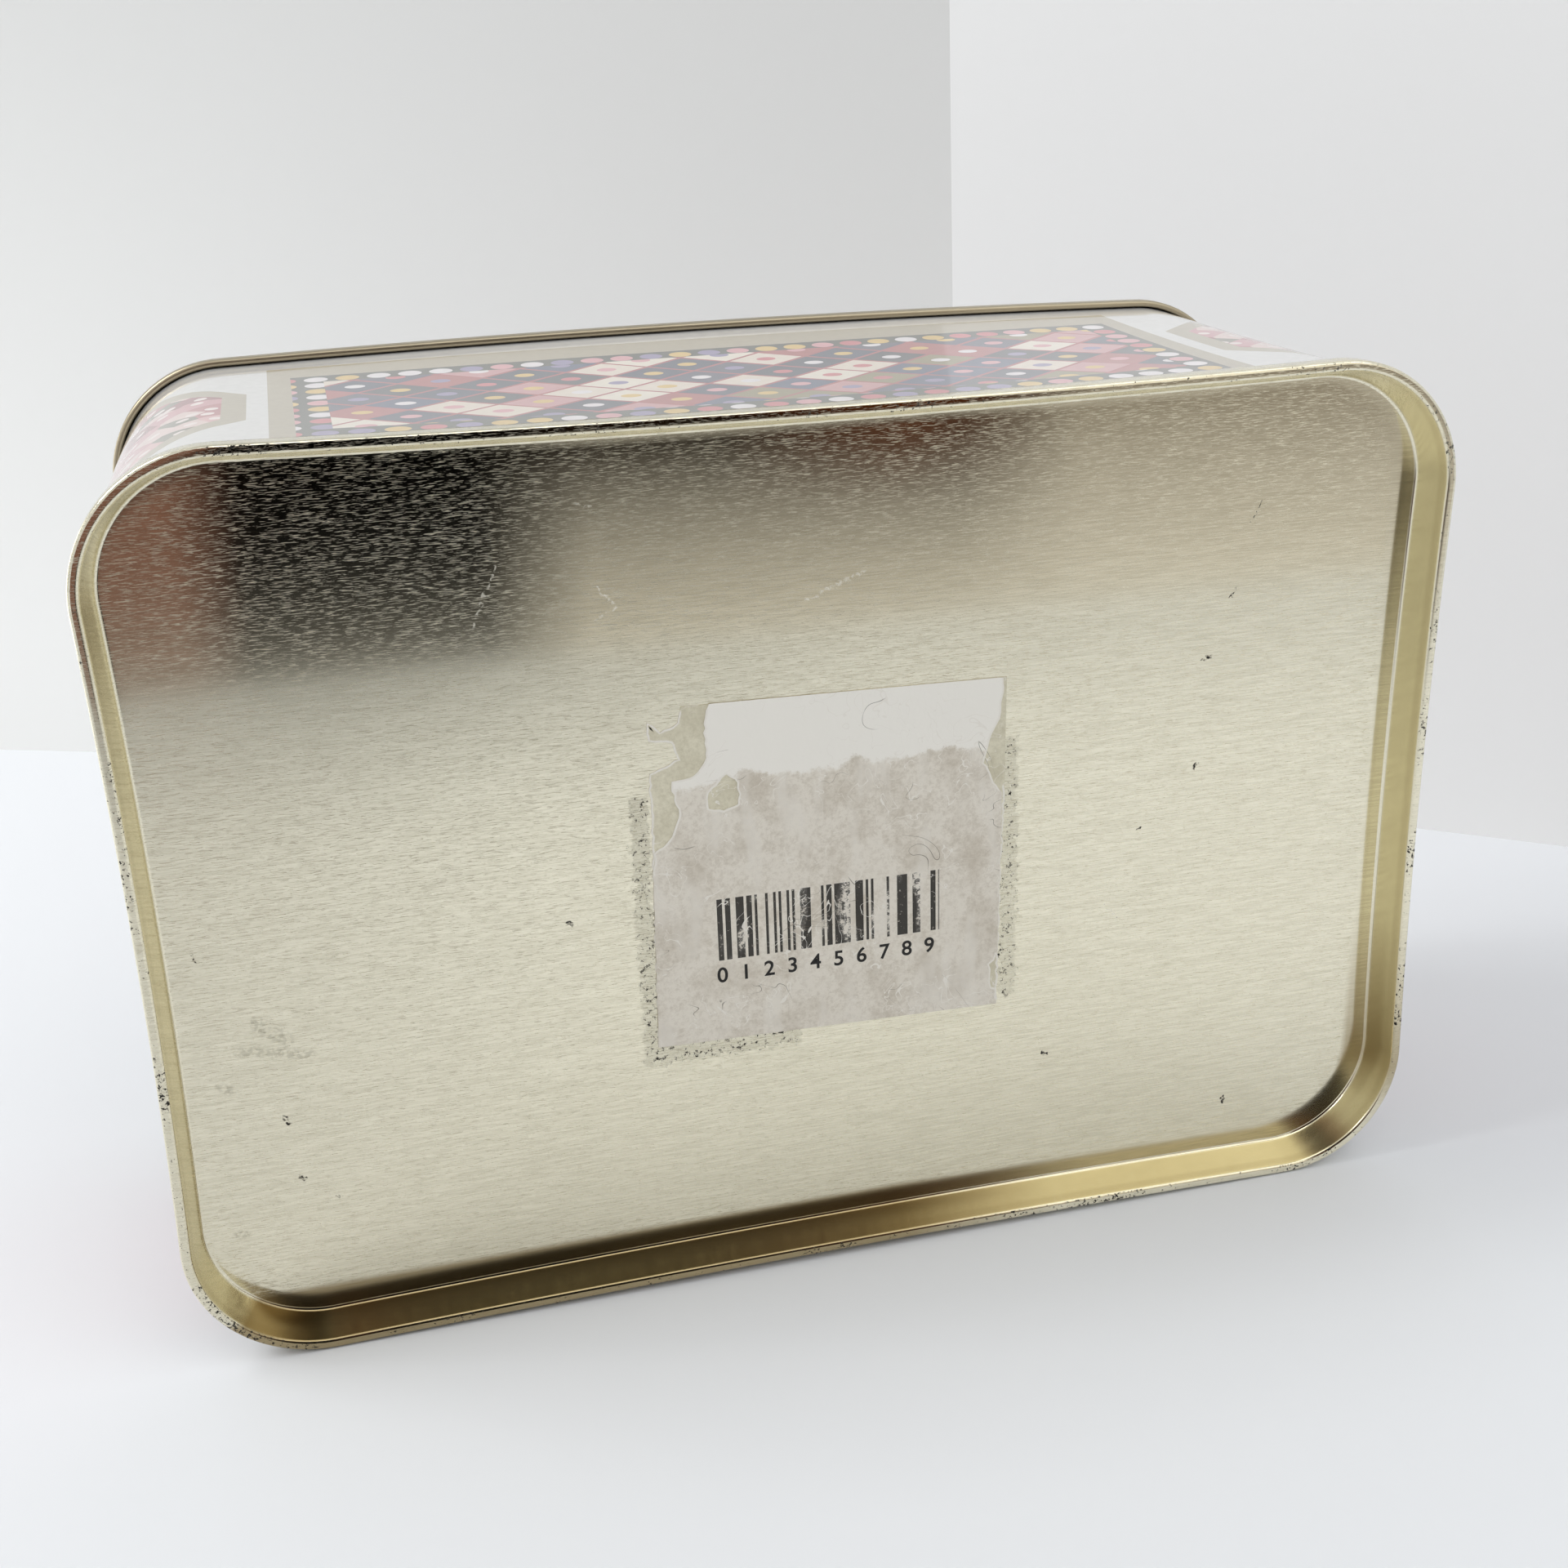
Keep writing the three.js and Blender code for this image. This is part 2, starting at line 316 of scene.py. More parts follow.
class SheetPress:
    """Presses one sheet of tinplate: a ring is drawn, then extruded along a section."""

    def __init__(self, name: str, outline: BoxOutline) -> None:
        """Starts with no ring.

        Args:
            name: the name of the sheet's object.
            outline: what its rings follow.
        """
        self.name = name
        self.outline = outline
        self.stations = outline.stations()
        self.rows: list[Point] = []
        self.obj: bpy.types.Object | None = None

    def draw(self, section: list[Point]) -> None:
        """Extrudes the ring along a section.

        Args:
            section: insets and levels, in millimetres.
        """
        for inset, level in section:
            self._next_ring([self.outline.point(s, inset, level) for s in self.stations])
            self.rows.append((inset, level))

    def close_panel(self, rings: int, ease: float = 1.6) -> None:
        """Closes the last ring with a flat panel.

        Args:
            rings: how many rings the panel has.
            ease: above 1, the rings crowd towards the panel's edge.
        """
        inset, level = self.rows[-1]
        edge = [self.outline.point(s, inset, level) for s in self.stations]
        for ring in range(1, rings):
            share = 1 - (ring / rings) ** ease
            self._next_ring([Vector((p.x * share, p.y * share, p.z)) for p in edge])
            self.rows.append((inset, level))
        bpy.ops.mesh.merge(type="CENTER")

    def finish(
        self, outside: Vector, thickness: float, slots: list[bpy.types.Material], smooth: float = 40.0,
    ) -> bpy.types.Object:
        """Turns the sheet's faces out, gives it its thickness and its finishes.

        Args:
            outside: a point in metres. The face nearest to it has to look at it.
            thickness: of the sheet, in millimetres.
            slots: finish of the outer face, then of the inner face.
            smooth: edges flatter than this angle in degrees are shaded smooth.

        Returns:
            The finished piece.
        """
        bpy.ops.object.mode_set(mode="OBJECT")
        obj = self.obj
        face = min(obj.data.polygons, key=lambda f: (f.center - outside).length)
        if face.normal.dot(outside - face.center) < 0:
            bpy.ops.object.mode_set(mode="EDIT")
            bpy.ops.mesh.select_all(action="SELECT")
            bpy.ops.mesh.flip_normals()
            bpy.ops.object.mode_set(mode="OBJECT")
        for slot in slots:
            obj.data.materials.append(slot)
        wall = obj.modifiers.new("sheet thickness", "SOLIDIFY")
        wall.thickness = thickness * MM
        wall.offset = 0.0
        wall.use_even_offset = True
        wall.material_offset = len(slots) - 1
        wall.material_offset_rim = len(slots) - 1
        bpy.ops.object.modifier_apply(modifier=wall.name)
        bpy.ops.object.shade_smooth_by_angle(angle=math.radians(smooth))
        for layer in ("station", "row"):
            obj.data.attributes.remove(obj.data.attributes[layer])
        return obj

    def _next_ring(self, points: list[Vector]) -> None:
        """Adds a ring: a circle for the first, an extrusion for the rest.

        Args:
            points: the ring's points, in metres.
        """
        if self.obj is None:
            select_only()
            bpy.ops.mesh.primitive_circle_add(vertices=len(points), fill_type="NOTHING", calc_uvs=False)
            self.obj = bpy.context.active_object
            self.obj.name = self.obj.data.name = self.name
            bpy.ops.object.mode_set(mode="EDIT")
            mesh = bmesh.from_edit_mesh(self.obj.data)
            station, row = (mesh.verts.layers.int.new(n) for n in ("station", "row"))
            for place, vertex in enumerate(mesh.verts):
                vertex[station] = place
        else:
            bpy.ops.mesh.extrude_edges_move()
        mesh = bmesh.from_edit_mesh(self.obj.data)
        station, row = (mesh.verts.layers.int[n] for n in ("station", "row"))
        for vertex in mesh.verts:
            if vertex.select:
                vertex.co = points[vertex[station]]
                vertex[row] = len(self.rows)
        bmesh.update_edit_mesh(self.obj.data)

    def map_print(self, heights: list[float], scale: float) -> None:
        """Unrolls the sheet into a UV map, with the front middle at U 0.5 and the weld at 0 and 1.

        Args:
            heights: the printed height of each row, in millimetres.
            scale: millimetres that one unit of the map stands for.
        """
        bpy.ops.object.mode_set(mode="OBJECT")
        data = self.obj.data
        last, front = len(self.stations) - 1, len(self.stations) // 2
        walks = []
        for inset, level in self.rows:
            ring = [self.outline.point(s, inset, level) / MM for s in self.stations]
            walk = [0.0]
            for here, there in zip(ring, ring[1:] + ring[:1]):
                walk.append(walk[-1] + (there - here).length)
            walks.append([0.5 + (w - walk[front]) / scale for w in walk])
        station, row = (data.attributes[n].data for n in ("station", "row"))
        uv = data.uv_layers.new(name="print")
        for face in data.polygons:
            places = [station[data.loops[i].vertex_index].value for i in face.loop_indices]
            wraps = 0 in places and last in places
            for loop, place in zip(face.loop_indices, places):
                place = last + 1 if wraps and place == 0 else place
                number = row[data.loops[loop].vertex_index].value
                uv.data[loop].uv = (walks[number][place], heights[number] / scale)
        bpy.ops.object.mode_set(mode="EDIT")


# ---------------------------------------------------------------- finishes


@dataclass(frozen=True)
class Mark:
    """A speck, scratch or smudge on the sunk panel, from one point to another."""

    start: Point
    end: Point
    half_wide: float


@dataclass(frozen=True)
class Strip:
    """A stretch of old glue on the sunk panel, from one corner to the opposite one."""

    low: Point
    high: Point


@dataclass(frozen=True)
class GoldTinplate:
    """Tinplate with a clear gold lacquer.

    Its rolled grain runs along X, which draws reflections out across it. The real grain is too
    fine for the render, so its streaks are as coarse as they need to be to show.
    """

    name: str = "gold_lacquered_tinplate"
    metal: str = "#f2ecd6"
    # recess_shade and painted_shade_tone are painted shade and a painted dark reflection in the recess and on
    # the rear strip.
    recess_shade: str = "#e0d6b0"
    painted_shade_tone: str = "#8e7746"
    wear: str = "#15120e"
    dash: str = "#a39b80"
    glue: str = "#c2beab"
    grime: str = "#7a7562"
    scratch: str = "#efebdf"
    smooth: float = 0.07
    coarse: float = 0.42
    smeared: float = 0.13
    grain_long: float = 1.3
    grain_high: float = 0.085
    grain_depth: float = 0.0004
    shimmer_share: float = 0.25
    dash_share: float = 0.42
    ring_shade_share: float = 0.15
    rear_reflection_share: float = 0.75
    glue_share: float = 0.3
    smudge_share: float = 0.28
    scratch_share: float = 0.6
    drawn_across: float = 0.7
    panel_half: Point = (85.3, 58.6)
    corner: float = 17.0
    used: bool = False
    specks: tuple[Mark, ...] = ()
    scratches: tuple[Mark, ...] = ()
    smudges: tuple[Mark, ...] = ()
    glue_strips: tuple[Strip, ...] = ()

    def material(self) -> bpy.types.Material:
        """Makes the finish, with wear, marks, old glue, painted shade and a painted reflection if it is used.

        Returns:
            The material.
        """
        material, desk, shader = new_material(self.name)
        grain = self._streaks(desk, 1.0, 1.0)
        flecks = desk.add("MapRange", grain, 0.55, 0.62)
        dashes = desk.add("MapRange", self._streaks(desk, 2.2, 0.8, 40.0), 0.68, 0.75)
        shimmer = desk.add("MapRange", self._streaks(desk, 3.0, 1.6, 80.0), 0.38, 0.62)
        rough = desk.add("MapRange", flecks, None, None, self.smooth, self.coarse)
        colour = desk.wash(srgb(self.metal), shimmer, self.shimmer_share, self.dash)
        colour = desk.wash(colour, dashes, self.dash_share, self.dash)
        bump = desk.add("Bump", 1.0, self.grain_depth * MM, None, grain)
        desk.feed(shader, {"Base Color": colour, "Roughness": rough, "Metallic": 1.0, "Normal": bump})
        if self.used:
            desk.feed(shader, self._aged(desk, colour, rough))
        return material

    def _streaks(self, desk: NodeDesk, longer: float, higher: float, away: float = 0.0) -> Node:
        """Gives noise drawn out along X.

        Args:
            desk: the material's nodes.
            longer: length of a streak, as a multiple of the grain's.
            higher: its height, as a multiple of the grain's.
            away: how far it is shifted, so that no two lots of streaks agree.

        Returns:
            The noise node.
        """
        long, high = longer * self.grain_long, higher * self.grain_high
        drawn = desk.add("Mapping", desk.place, (away, 0, 0), None, (1 / long, 1 / high, 1 / high))
        return desk.add("TexNoise", drawn, 1.0, 2.0, 0.55)

    def _aged(self, desk: NodeDesk, colour: Node, rough: Node) -> dict[str, Source]:
        """Adds what pressing, use and dirt have done to the bottom, with painted shade in the recess and a
        painted reflection on the rear strip.

        Args:
            desk: the material's nodes.
            colour: the clean sheet's colour.
            rough: its roughness.

        Returns:
            The sheet's looks, under the names of the shader's sockets.
        """
        across, along, height = (desk.axes[axis] for axis in "XYZ")
        outward, inward = self._sides(desk)
        smeared = self._smeared_strip(desk)
        rough = desk.add("Mix", smeared, rough, self.smeared, data_type="FLOAT")
        # Painted shade: the recess wall is tinted a darker gold as shade in the recess. The added roughness
        # there is real.
        recess = desk.add("Math", desk.near(height, 2.7, 2.7), inward, operation="MULTIPLY")
        colour = desk.wash(colour, recess, 1.0, self.recess_shade)
        rough = desk.add("Math", recess, 0.1, rough, operation="MULTIPLY_ADD")
        # Painted shade: a darker brown band low on the recess wall, by the resting fold.
        ring = desk.add("Math", desk.near(height, 1.1, 0.8, 0.7), inward, operation="MULTIPLY")
        colour = desk.wash(colour, ring, self.ring_shade_share, self.painted_shade_tone)
        # Painted reflection: a brown band on the panel's rear strip, standing in for the recess wall mirrored
        # there.
        colour = desk.wash(colour, self._painted_rear_reflection(desk, smeared, across, along), self.rear_reflection_share, self.painted_shade_tone)

        glue, grit = self._old_glue(desk)
        colour = desk.wash(colour, glue, self.glue_share, self.glue)
        rough = desk.add("Math", glue, 0.15, rough, operation="MULTIPLY_ADD")

        specks = self._marks(desk, self.specks, 2.2)
        scratches = self._marks(desk, self.scratches, 2.2)
        colour = desk.wash(colour, self._marks(desk, self.smudges, 1.6), self.smudge_share, self.grime)
        colour = desk.wash(colour, scratches, self.scratch_share, self.scratch)
        dirt = desk.add("Math", self._worn_folds(desk, outward), grit, operation="MAXIMUM")
        dirt = desk.add("Math", dirt, specks, operation="MAXIMUM")
        colour = desk.wash(colour, dirt, 1.0, self.wear)
        rough = desk.add("Math", rough, dirt, operation="MAXIMUM")
        dull = desk.add("Math", scratches, 0.5, operation="MULTIPLY")
        dull = desk.add("Math", dirt, dull, operation="MAXIMUM")
        return {
            "Base Color": colour,
            "Roughness": rough,
            "Metallic": desk.add("Math", 1.0, dull, operation="SUBTRACT"),
            "Tangent": desk.add("Tangent", direction_type="UV_MAP", uv_map="grain"),
            "Anisotropic": self.drawn_across,
            "Anisotropic Rotation": 0.25,
        }

    def _painted_rear_reflection(self, desk: NodeDesk, smeared: Node, across: Socket, along: Socket) -> Node:
        """Masks a painted reflection: a brown band on the smeared strip at the rear, which stops where the
        strip is clear.

        Args:
            desk: the material's nodes.
            smeared: the mask of the whole strip.
            across: place along X.
            along: place along Y.

        Returns:
            The mask.
        """
        clear = desk.add(
            "Math", desk.near(across, 56.0, 46.0, 0.5), desk.add("MapRange", along, 44.0, 50.0),
            operation="MULTIPLY",
        )
        rest = desk.add("Math", smeared, clear, operation="SUBTRACT")
        return desk.add("Math", rest, desk.add("MapRange", along, 20.0, 50.0), operation="MULTIPLY")

    def _smeared_strip(self, desk: NodeDesk) -> Node:
        """Masks the panel's edge at the rear and the right, where pressing has smeared the grain.

        Args:
            desk: the material's nodes.

        Returns:
            The mask.
        """
        squares = []
        for axis, half in zip("XY", self.panel_half):
            off = desk.add("Math", desk.axes[axis], half - self.corner, operation="SUBTRACT")
            past = desk.add("Math", off, 0.0, operation="MAXIMUM")
            squares.append(desk.add("Math", past, 2.0, operation="POWER"))
        square = desk.add("Math", *squares, operation="ADD")
        far = desk.add("Math", square, 0.5, operation="POWER")
        from_edge = desk.add("Math", self.corner, far, operation="SUBTRACT")
        return desk.add("MapRange", from_edge, 6.4, 5.4)

    def _sides(self, desk: NodeDesk) -> tuple[Node, Node]:
        """Tells the sheet's faces that look away from the box's middle from those that look towards it.

        Args:
            desk: the material's nodes.

        Returns:
            The masks of the outward and of the inward faces.
        """
        facing = desk.add("TexCoord").outputs["Normal"]
        level = desk.add("VectorMath", desk.place, (1.0, 1.0, 0.0), operation="MULTIPLY")
        ahead = desk.add("VectorMath", level, facing, operation="DOT_PRODUCT")
        outward = desk.add("Math", ahead, 1.0, operation="GREATER_THAN")
        return outward, desk.add("Math", ahead, -1.0, operation="LESS_THAN")

    def _worn_folds(self, desk: NodeDesk, outward: Node) -> Node:
        """Masks the black specks where the lacquer and tin have rubbed off the seam's folds.

        Args:
            desk: the material's nodes.
            outward: the mask of the outward faces.

        Returns:
            The mask, on the resting fold and on the seam's upper edge, most at the front and right.
        """
        fine = desk.add("TexNoise", desk.place, 1.7, 4.0, 0.75)
        patches = desk.add("TexNoise", desk.place, 0.08, 2.0, 0.6)
        patches = desk.add("MapRange", patches, 0.46, 0.64)
        likely = desk.add("Math", patches, 0.12, fine, operation="MULTIPLY_ADD")
        rest = desk.add("MapRange", likely, 0.64, 0.66)
        rest = desk.add("Math", rest, desk.near(desk.axes["Z"], 0.0, 0.2), operation="MULTIPLY")
        front = desk.add("MapRange", desk.axes["Y"], -40.0, -54.0)
        right = desk.add("MapRange", desk.axes["X"], 66.0, 82.0)
        handled = desk.add("Math", front, right, operation="MAXIMUM")
        top = desk.add("Math", handled, 0.16, likely, operation="MULTIPLY_ADD")
        top = desk.add("MapRange", top, 0.63, 0.66)
        top = desk.add("Math", top, desk.near(desk.axes["Z"], 2.92, 0.22), operation="MULTIPLY")
        top = desk.add("Math", top, outward, operation="MULTIPLY")
        return desk.add("Math", rest, top, operation="MAXIMUM")

    def _old_glue(self, desk: NodeDesk) -> tuple[Node, Node]:
        """Masks the old glue round the sticker, and the grit that it holds.

        Args:
            desk: the material's nodes.

        Returns:
            The masks of the glue and of the grit.
        """
        depths = []
        for strip in self.glue_strips:
            sides = []
            for axis, low, high in zip("XY", strip.low, strip.high):
                off = desk.add("Math", desk.axes[axis], (low + high) / 2, operation="SUBTRACT")
                far = desk.add("Math", off, operation="ABSOLUTE")
                sides.append(desk.add("Math", (high - low) / 2, far, operation="SUBTRACT"))
            depths.append(desk.add("Math", *sides, operation="MINIMUM"))
        depth = reduce(partial(desk.add, "Math", operation="MAXIMUM"), depths)
        wander = desk.add("TexNoise", desk.place, 0.9, 3.0)
        ragged = desk.add("Math", wander, 3.0, depth, operation="MULTIPLY_ADD")
        glue = desk.add("MapRange", ragged, 1.5, 1.9)
        grains = desk.add("TexNoise", desk.place, 1.5, 5.0, 0.8)
        grains = desk.add("MapRange", grains, 0.57, 0.6)
        return glue, desk.add("Math", glue, grains, operation="MULTIPLY")

    def _marks(self, desk: NodeDesk, marks: tuple[Mark, ...], grit_scale: float) -> Node:
        """Masks marks, each the ground near a line, with a wandering edge.

        Args:
            desk: the material's nodes.
            marks: the marks.
            grit_scale: grains to a millimetre of the grit that breaks them up.

        Returns:
            The mask.
        """
        wander = desk.add("TexNoise", desk.place, 0.9, 3.0)
        middle = desk.add("VectorMath", wander.outputs["Color"], (0.5, 0.5, 0.5), operation="SUBTRACT")
        shift = desk.add("VectorMath", middle, 1.6, operation="SCALE")
        moved = desk.add("VectorMath", desk.place, shift, operation="ADD")
        flat = desk.add("VectorMath", moved, (1.0, 1.0, 0.0), operation="MULTIPLY")
        found = []
        for mark in marks:
            run = Vector((*mark.end, 0.0)) - Vector((*mark.start, 0.0))
            rel = desk.add("VectorMath", flat, (*mark.start, 0.0), operation="SUBTRACT")
            share = desk.add("VectorMath", rel, tuple(run / run.length_squared), operation="DOT_PRODUCT")
            foot = desk.add("VectorMath", tuple(run), desk.add("Clamp", share), operation="SCALE")
            gap = desk.add("VectorMath", rel, foot, operation="DISTANCE")
            found.append(desk.add("MapRange", gap, mark.half_wide * 1.8, mark.half_wide))
        grit = desk.add("TexNoise", desk.place, grit_scale, 2.0)
        return desk.add(
            "Math", reduce(partial(desk.add, "Math", operation="MAXIMUM"), found),
            desk.add("MapRange", grit, 0.42, 0.56), operation="MULTIPLY",
        )


class PrintPlace(Enum):
    """Where a printed design lies."""

    WALL = "wall"
    LID = "lid"


@dataclass(frozen=True)
class PrintedTin:
    """White-coated tinplate printed in offset and varnished: glossy, with flat ink colours.

    A framed panel is half its length, the height of its middle and half its height.
    """

    place: PrintPlace
    name: str = "printed_tinplate"
    ground: str = "#dddcda"
    band: str = "#aea38c"
    border: str = "#3a3a2c"
    thread: str = "#a8454a"
    heart: str = "#efe0dc"
    bare: str = "#b7ad90"
    round_mm: float = 542.4
    off_register: float = 1.0
    wall_panels: tuple[Panel, Panel] = ((61.2, 31.1, 25.5), (58.2, 29.3, 20.4))
    wall_print_top: float = 63.0
    weld_half: float = 2.6
    lid_panels: tuple[Panel, Panel] = ((65.0, 0.0, 39.0), (62.0, 0.0, 36.0))
    lid_print_foot: float = 62.6
    border_wide: float = 4.2
    cell_long: float = 11.0
    cell_high: float = 9.0
    spot: float = 0.17
    bead_pitch: float = 4.1
    bead: float = 0.38
    end_panel: Panel = (71.8, 31.0, 22.5)
    end_tip_high: float = 9.0
    end_cut: float = 14.0
    end_band_wide: float = 3.0
    inks: tuple[str, ...] = (
        "#2f3550", "#e4d6c6", "#33323c", "#a9514f", "#3a4668",
        "#c98f90", "#2b2f45", "#8a7f55", "#46435a", "#e9dfcf",
    )
    dot_inks: tuple[str, ...] = ("#dcb863", "#c9636a", "#e8e2e4", "#8a7fa6", "#d99aa0")
    sprig_inks: tuple[str, ...] = (
        "#c98a90", "#8f3e47", "#e6cfcf", "#b4666c", "#d8a5a4", "#6f6a55", "#dfc3bd",
    )

    def material(self) -> bpy.types.Material:
        """Makes the printed finish for its place.

        Returns:
            The material.
        """
        material, desk, shader = new_material(f"{self.name}_{self.place.value}")
        colour, bare = self._wall(desk) if self.place is PrintPlace.WALL else self._lid(desk)
        speckle = desk.add("TexNoise", desk.place, 0.9, 3.0)
        tone = desk.add("MapRange", speckle, 0.3, 0.7, 0.94, 1.03)
        shaded = desk.add("VectorMath", colour, tone, operation="SCALE")
        waves = desk.add("TexNoise", desk.place, 0.06, 1.0)
        desk.feed(shader, {
            "Base Color": desk.wash(shaded, bare, 1.0, self.bare),
            "Metallic": bare,
            "Normal": desk.add("Bump", 1.0, 0.02 * MM, None, waves),
            "Roughness": 0.28,
            "Coat Weight": 1.0,
            "Coat Roughness": 0.06,
        })
        return material

    def _wall(self, desk: NodeDesk) -> tuple[Node, Node]:
        """Draws the wall's design: a framed panel front and rear, and an eight-sided one round each end.

        Args:
            desk: the material's nodes.

        Returns:
            The colour, and the mask of the bare metal at the top and along the weld.
        """
        flat = desk.add("VectorMath", desk.add("UVMap", uv_map="print"), self.round_mm, operation="SCALE")
        walked, height, _ = desk.add("SeparateXYZ", flat).outputs
        off = desk.add("Math", walked, self.round_mm / 2 - self.off_register, operation="SUBTRACT")
        from_front = desk.add("Math", off, operation="ABSOLUTE")
        from_rear = desk.add("Math", self.round_mm / 2, from_front, operation="SUBTRACT")
        along = desk.add("Math", from_front, from_rear, operation="MINIMUM")
        from_end = desk.add("Math", self.round_mm / 4, along, operation="SUBTRACT")
        colour = self._framed(desk, along, height, walked, self.wall_panels)
        colour = self._end_panel(desk, from_end, height, walked, colour)
        top = desk.add("Math", height, self.wall_print_top, operation="GREATER_THAN")
        weld = desk.add("Math", from_rear, self.weld_half, operation="LESS_THAN")
        return colour, desk.add("Math", top, weld, operation="MAXIMUM")

    def _lid(self, desk: NodeDesk) -> tuple[Node, Node]:
        """Draws the lid's design: one framed panel on its raised middle.

        Args:
            desk: the material's nodes.

        Returns:
            The colour, and the mask of the bare metal of the curl.
        """
        walked, height = desk.axes["X"], desk.axes["Y"]
        along = desk.add("Math", walked, operation="ABSOLUTE")
        colour = self._framed(desk, along, height, walked, self.lid_panels)
        return colour, desk.add("Math", desk.axes["Z"], self.lid_print_foot, operation="LESS_THAN")

    def _framed(
        self, desk: NodeDesk, along: Source, height: Source, walked: Source, panels: tuple[Panel, Panel],
    ) -> Node:
        """Draws a lattice panel with a bead border, in a plain band on the white ground.

        Args:
            desk: the material's nodes.
            along: distance from the panel's middle line.
            height: height on the wall, or distance across the lid.
            walked: place along the wall that the lattice follows.
            panels: the band's outside, then the panel in it.

        Returns:
            The colour.
        """
        depths = []
        for half_long, middle, half_high in panels:
            off = desk.add("Math", height, middle, operation="SUBTRACT")
            tall = desk.add("Math", off, operation="ABSOLUTE")
            up = desk.add("Math", tall, half_high, operation="SUBTRACT")
            side = desk.add("Math", along, half_long, operation="SUBTRACT")
            depths.append(desk.add("Math", up, side, operation="MAXIMUM"))
        colour = srgb(self.ground)
        for depth, limit, above in (
            (depths[0], 0.0, srgb(self.band)),
            (depths[1], 0.0, self._bead_row(desk, walked, height)),
            (depths[1], -self.border_wide, self._lattice(desk, walked, height)),
        ):
            mask = desk.add("Math", depth, limit, operation="LESS_THAN")
            colour = desk.add("Mix", mask, colour, above, data_type="RGBA")
        return colour

    def _lattice(self, desk: NodeDesk, walked: Source, height: Source) -> Node:
        """Draws a harlequin lattice with a thread between its lozenges and a spot in each.

        Args:
            desk: the material's nodes.
            walked: place along the wall.
            height: height on it.

        Returns:
            The colour.
        """
        wide = desk.add("Math", walked, self.cell_long, operation="DIVIDE")
        high = desk.add("Math", height, self.cell_high, operation="DIVIDE")
        lines = [desk.add("Math", wide, high, operation=way) for way in ("ADD", "SUBTRACT")]
        cell, offs = self._cells(desk, lines)
        chance = desk.add("TexWhiteNoise", cell, noise_dimensions="2D")
        colour = self._pick(desk, chance.outputs["Value"], self.inks)
        second = desk.add("SeparateXYZ", chance.outputs["Color"]).outputs["Y"]
        reach = desk.add("VectorMath", desk.add("CombineXYZ", *offs), operation="LENGTH")
        spot = desk.add("Math", reach, self.spot, operation="LESS_THAN")
        colour = desk.add("Mix", spot, colour, self._pick(desk, second, self.dot_inks), data_type="RGBA")
        gaps = [desk.add("Math", off, operation="ABSOLUTE") for off in offs]
        edge = desk.add("Math", *gaps, operation="MAXIMUM")
        return desk.wash(colour, desk.add("Math", edge, 0.46, operation="GREATER_THAN"), 1.0, self.thread)

    def _bead_row(self, desk: NodeDesk, walked: Source, height: Source) -> Node:
        """Draws a row of round beads of mixed colours on a dark olive border.

        Args:
            desk: the material's nodes.
            walked: place along the wall.
            height: height on it.

        Returns:
            The colour.
        """
        lines = [desk.add("Math", value, self.bead_pitch, operation="DIVIDE") for value in (walked, height)]
        cell, offs = self._cells(desk, lines)
        chance = desk.add("TexWhiteNoise", cell, noise_dimensions="2D")
        reach = desk.add("VectorMath", desk.add("CombineXYZ", *offs), operation="LENGTH")
        bead = desk.add("Math", reach, self.bead, operation="LESS_THAN")
        ink = self._pick(desk, chance, self.dot_inks)
        return desk.add("Mix", bead, srgb(self.border), ink, data_type="RGBA")

    def _cells(self, desk: NodeDesk, lines: list[Node]) -> tuple[Node, list[Node]]:
        """Cuts the plane into cells.

        Args:
            desk: the material's nodes.
            lines: two coordinates, one cell to the unit.

        Returns:
            The cell's number, and how far a spot is from its middle each way.
        """
        steps = [desk.add("Math", line, operation="FLOOR") for line in lines]
        parts = [desk.add("Math", line, operation="FRACT") for line in lines]
        offs = [desk.add("Math", part, 0.5, operation="SUBTRACT") for part in parts]
        return desk.add("CombineXYZ", *steps), offs

    def _end_panel(
        self, desk: NodeDesk, from_end: Source, height: Source, walked: Source, ground: Node,
    ) -> Node:
        """Draws the eight-sided panel round an end, with a fill of small pink sprigs.

        Args:
            desk: the material's nodes.
            from_end: distance from the end's middle line.
            height: height on the wall.
            walked: place along it.
            ground: the colour under the panel.

        Returns:
            The colour.
        """
        half_long, middle, half_high = self.end_panel
        slope = self.end_cut / (half_high - self.end_tip_high)
        off = desk.add("Math", height, middle, operation="SUBTRACT")
        tall = desk.add("Math", off, operation="ABSOLUTE")
        end = desk.add("Math", from_end, operation="ABSOLUTE")
        side = desk.add("Math", end, half_long, operation="SUBTRACT")
        up = desk.add("Math", tall, half_high, operation="SUBTRACT")
        lean = desk.add("Math", tall, slope, end, operation="MULTIPLY_ADD")
        cut = desk.add("Math", lean, half_long + self.end_tip_high * slope, operation="SUBTRACT")
        true = desk.add("Math", cut, 1 / math.hypot(1, slope), operation="MULTIPLY")
        depth = reduce(partial(desk.add, "Math", operation="MAXIMUM"), (side, up, true))
        plane = desk.add("CombineXYZ", walked, height)
        petals = desk.add("TexVoronoi", plane, 0.24, voronoi_dimensions="2D")
        chance = desk.add("SeparateXYZ", petals.outputs["Color"])
        heart = desk.add("Math", petals, 0.2, operation="LESS_THAN")
        sprig = desk.wash(self._pick(desk, chance, self.sprig_inks), heart, 1.0, self.heart)
        colour = ground
        for limit, above in ((0.0, srgb(self.band)), (-self.end_band_wide, sprig)):
            mask = desk.add("Math", depth, limit, operation="LESS_THAN")
            colour = desk.add("Mix", mask, colour, above, data_type="RGBA")
        return colour

